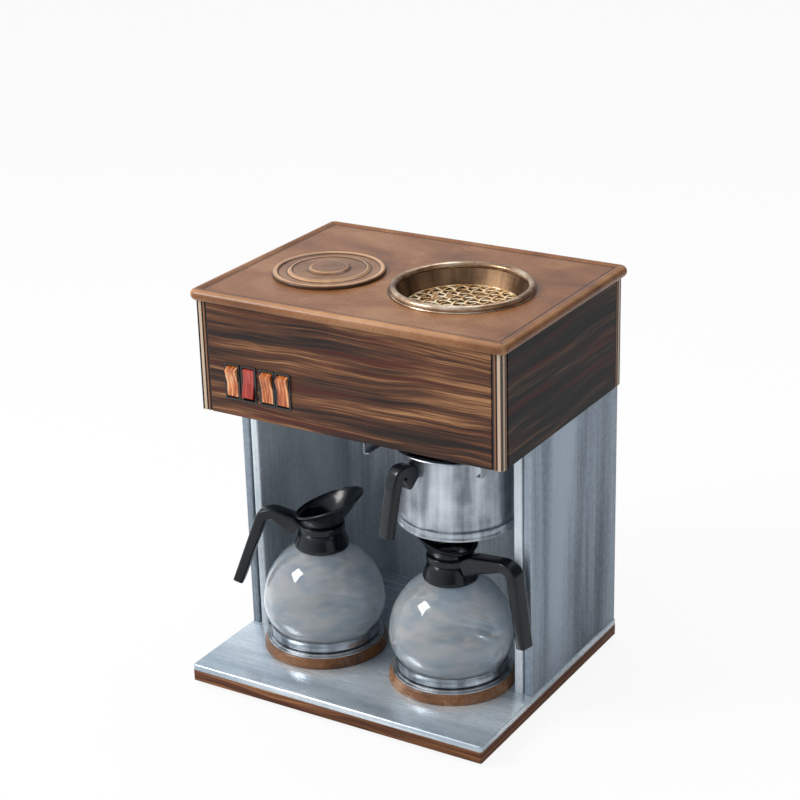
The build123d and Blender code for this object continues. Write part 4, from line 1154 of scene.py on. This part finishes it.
def collar_surface(name, centre, heading, foot, neck):
    """Collar as rings about the axis that widen, lean and drift more the higher they are.

    Each ring is (half length, half width, height, lean, shift): an ellipse whose plane falls towards
    the handle by lean and whose centre moves towards the spout by shift. Outer rings run up, a round
    bead goes over the edge, and inner rings run back down.
    """
    skirt = [(0.0335, foot), (0.034, foot + 0.0007), (0.034, foot + 0.0038), (0.0334, foot + 0.0052),
             (0.0319, foot + 0.0098), (0.0304, foot + 0.0145), (0.0290, foot + 0.0186),
             (0.0266, foot + 0.0212), (WAIST_R, foot + 0.0222), (WAIST_R, neck - 0.002)]
    lining = [(THROAT_R, neck - 0.0085), (0.0255, foot + 0.018), (0.0272, foot + 0.015),
              (0.0277, foot + 0.006), (0.0318, foot), (0.0335, foot)]
    up = np.linspace(0, 1, 16)
    swell = 0.4 * up + 0.6 * up ** 2
    flare = np.column_stack([WAIST_R + (MOUTH_LONG - WAIST_R) * swell,
                             WAIST_R + (MOUTH_WIDE - WAIST_R) * swell, neck + MOUTH_RISE * up,
                             MOUTH_LEAN * up ** 1.3, MOUTH_SHIFT * up ** 1.2])
    wall = WAIST_R - THROAT_R
    down = flare[::-1] - (wall, wall, 0, 0, 0)
    turn = np.radians(np.linspace(-20, 200, 9))[:, None]
    out = BEAD_R * np.cos(turn) - 0.001
    edge = np.hstack([out, out, 0.0009 + BEAD_R * np.sin(turn), 0 * turn, 0 * turn])
    rings = [(r, r, z, 0.0, 0.0) for r, z in skirt]
    back = [(r, r, z, 0.0, 0.0) for r, z in lining]
    table = np.concatenate([rings, flare, flare[-1] + edge, down, back])
    steps = 120
    t = np.linspace(0, 2 * pi, steps, endpoint=False)
    length, width, z, tip, away = (table[:, i, None] for i in range(5))
    along = length * np.cos(t) * np.cos(tip) - away
    across = width * np.sin(t)
    height = z - length * np.cos(t) * np.sin(tip)
    c, s = cos(heading), sin(heading)
    points = np.stack([centre[0] + along * c - across * s, centre[1] + along * s + across * c,
                       height], axis=2).reshape(-1, 3)
    return outward(mesh_object(name, points, grid_faces(len(table), steps, closed=True), 50.0))


for side, heading in HEADINGS.items():
    body = f"decanter_{side}"
    centre = centre_of(f"{body}_cup")
    low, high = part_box(f"{body}_cup")
    foot, brim, cup_r = low[2], high[2], (high[0] - low[0]) / 2
    outline = eased([
        (0.0, foot), (cup_r - 0.003, foot), (cup_r, foot + 0.003), (cup_r - 0.0006, foot + 0.0075),
        (cup_r - 0.0006, foot + 0.0105), (cup_r, brim - 0.001), (cup_r - 0.0005, brim),
        (cup_r - CUP_WALL, brim - 0.0003), (cup_r - CUP_WALL, foot + 0.0035),
        (cup_r - 0.004, foot + CUP_WALL), (0.0, foot + CUP_WALL)], 0.0008)
    cup = lathe(f"{body}_cup", centre, outline, 144, 50.0)
    cup_steel = turned_steel(f"{body}_cup_steel", centre, (0.035, 0.042, 0.052), (0.72, 0.77, 0.83), 0.14,
                             1800.0)
    show(outward(cup), body, "cup_steel", cup_steel, f"{body}_cup")

    floor_z = foot + 0.002
    outer = through([(r, foot + h) for r, h in BULB])
    inner = shell_of(outer, GLASS_WALL)
    base = [(0.0, floor_z), (BULB[0][0] - 0.006, floor_z), (BULB[0][0] - 0.0015, floor_z + 0.003),
            (BULB[0][0], floor_z + 0.008)]
    hollow = [(inner[0][0], floor_z + 0.0075), (inner[0][0] - 0.0045, floor_z + 0.0032),
              (inner[0][0] - 0.010, floor_z + GLASS_WALL), (0.0, floor_z + GLASS_WALL)]
    lip = [(outer[-1][0] - GLASS_WALL / 2, outer[-1][1] + 0.0004)]
    bulb = lathe(f"{body}_glass", centre, base + list(map(tuple, outer)) + lip
                 + list(map(tuple, inner[::-1])) + hollow, 144, 70.0)
    show(outward(bulb), body, "decanter_glass", glass, f"{body}_glass")

    collar_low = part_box(f"{body}_collar")[0][2]
    neck = collar_low + 0.031
    collar = collar_surface(f"{body}_collar", centre, heading, collar_low, neck)
    show(collar, body, "handle_plastic", handle_black, f"{body}_collar")

    z = neck + 0.004
    bend_at, tip = HANDLE_REACH[side], GRIP_REACH[side]
    arm = cranked_bar(f"{body}_arm", centre, heading, [
        (0.0290, z - 0.0130, 0.0210, 0.0290), (0.0380, z - 0.0075, 0.0235, 0.0230),
        (bend_at - 0.020, z + 0.0050, 0.0140, 0.0200), (bend_at - 0.0055, z + 0.0010, 0.0140, 0.0200),
        (tip - 0.0065, z - 0.0935, 0.0132, 0.0190)])
    band_outline = eased([(0.0260, neck - 0.0090), (0.0288, neck - 0.0090), (0.0295, neck - 0.0078),
                          (0.0295, neck - 0.0012), (0.0288, neck), (0.0260, neck),
                          (0.0260, neck - 0.0090)], 0.0008)
    band_ring = lathe(f"{body}_band", centre, band_outline, 96, 50.0)
    handle = joined_up(f"{body}_handle", [arm, outward(band_ring)])
    show(handle, body, "handle_plastic", handle_black, f"{body}_handle")


# ---- Inside the head ----
# Folded stainless tank with its lid, gasket, bolts and heater, and two drawn copper tubes. They are
# out of sight and keep the CAD's own shapes. The nuts under the deck share the tank's steel.

tank_steel = brushed("tank_steel", (0.22, 0.23, 0.24), (0.55, 0.56, 0.57), along=0, rough=0.45)
finish_nodes(tank_steel, "tank", "tank_lid", "tank_lid_screws", "warmer_nuts", "tank_heater")
finish_nodes(grained_plastic("gasket_rubber", (0.03, 0.028, 0.027), 0.8), "tank_gasket")
copper = Shader("drawn_copper")
tarnish = copper.noise(copper.place, 55.0, 3.0, 0.6)
finish_nodes(copper.finish(
    Base_Color=copper.blend(tarnish.ramp(0.35, 0.7), (0.34, 0.13, 0.07), (0.74, 0.36, 0.22)),
    Metallic=0.95, Roughness=0.25 + tarnish * 0.25), "fill_tube", "hot_water_tube")
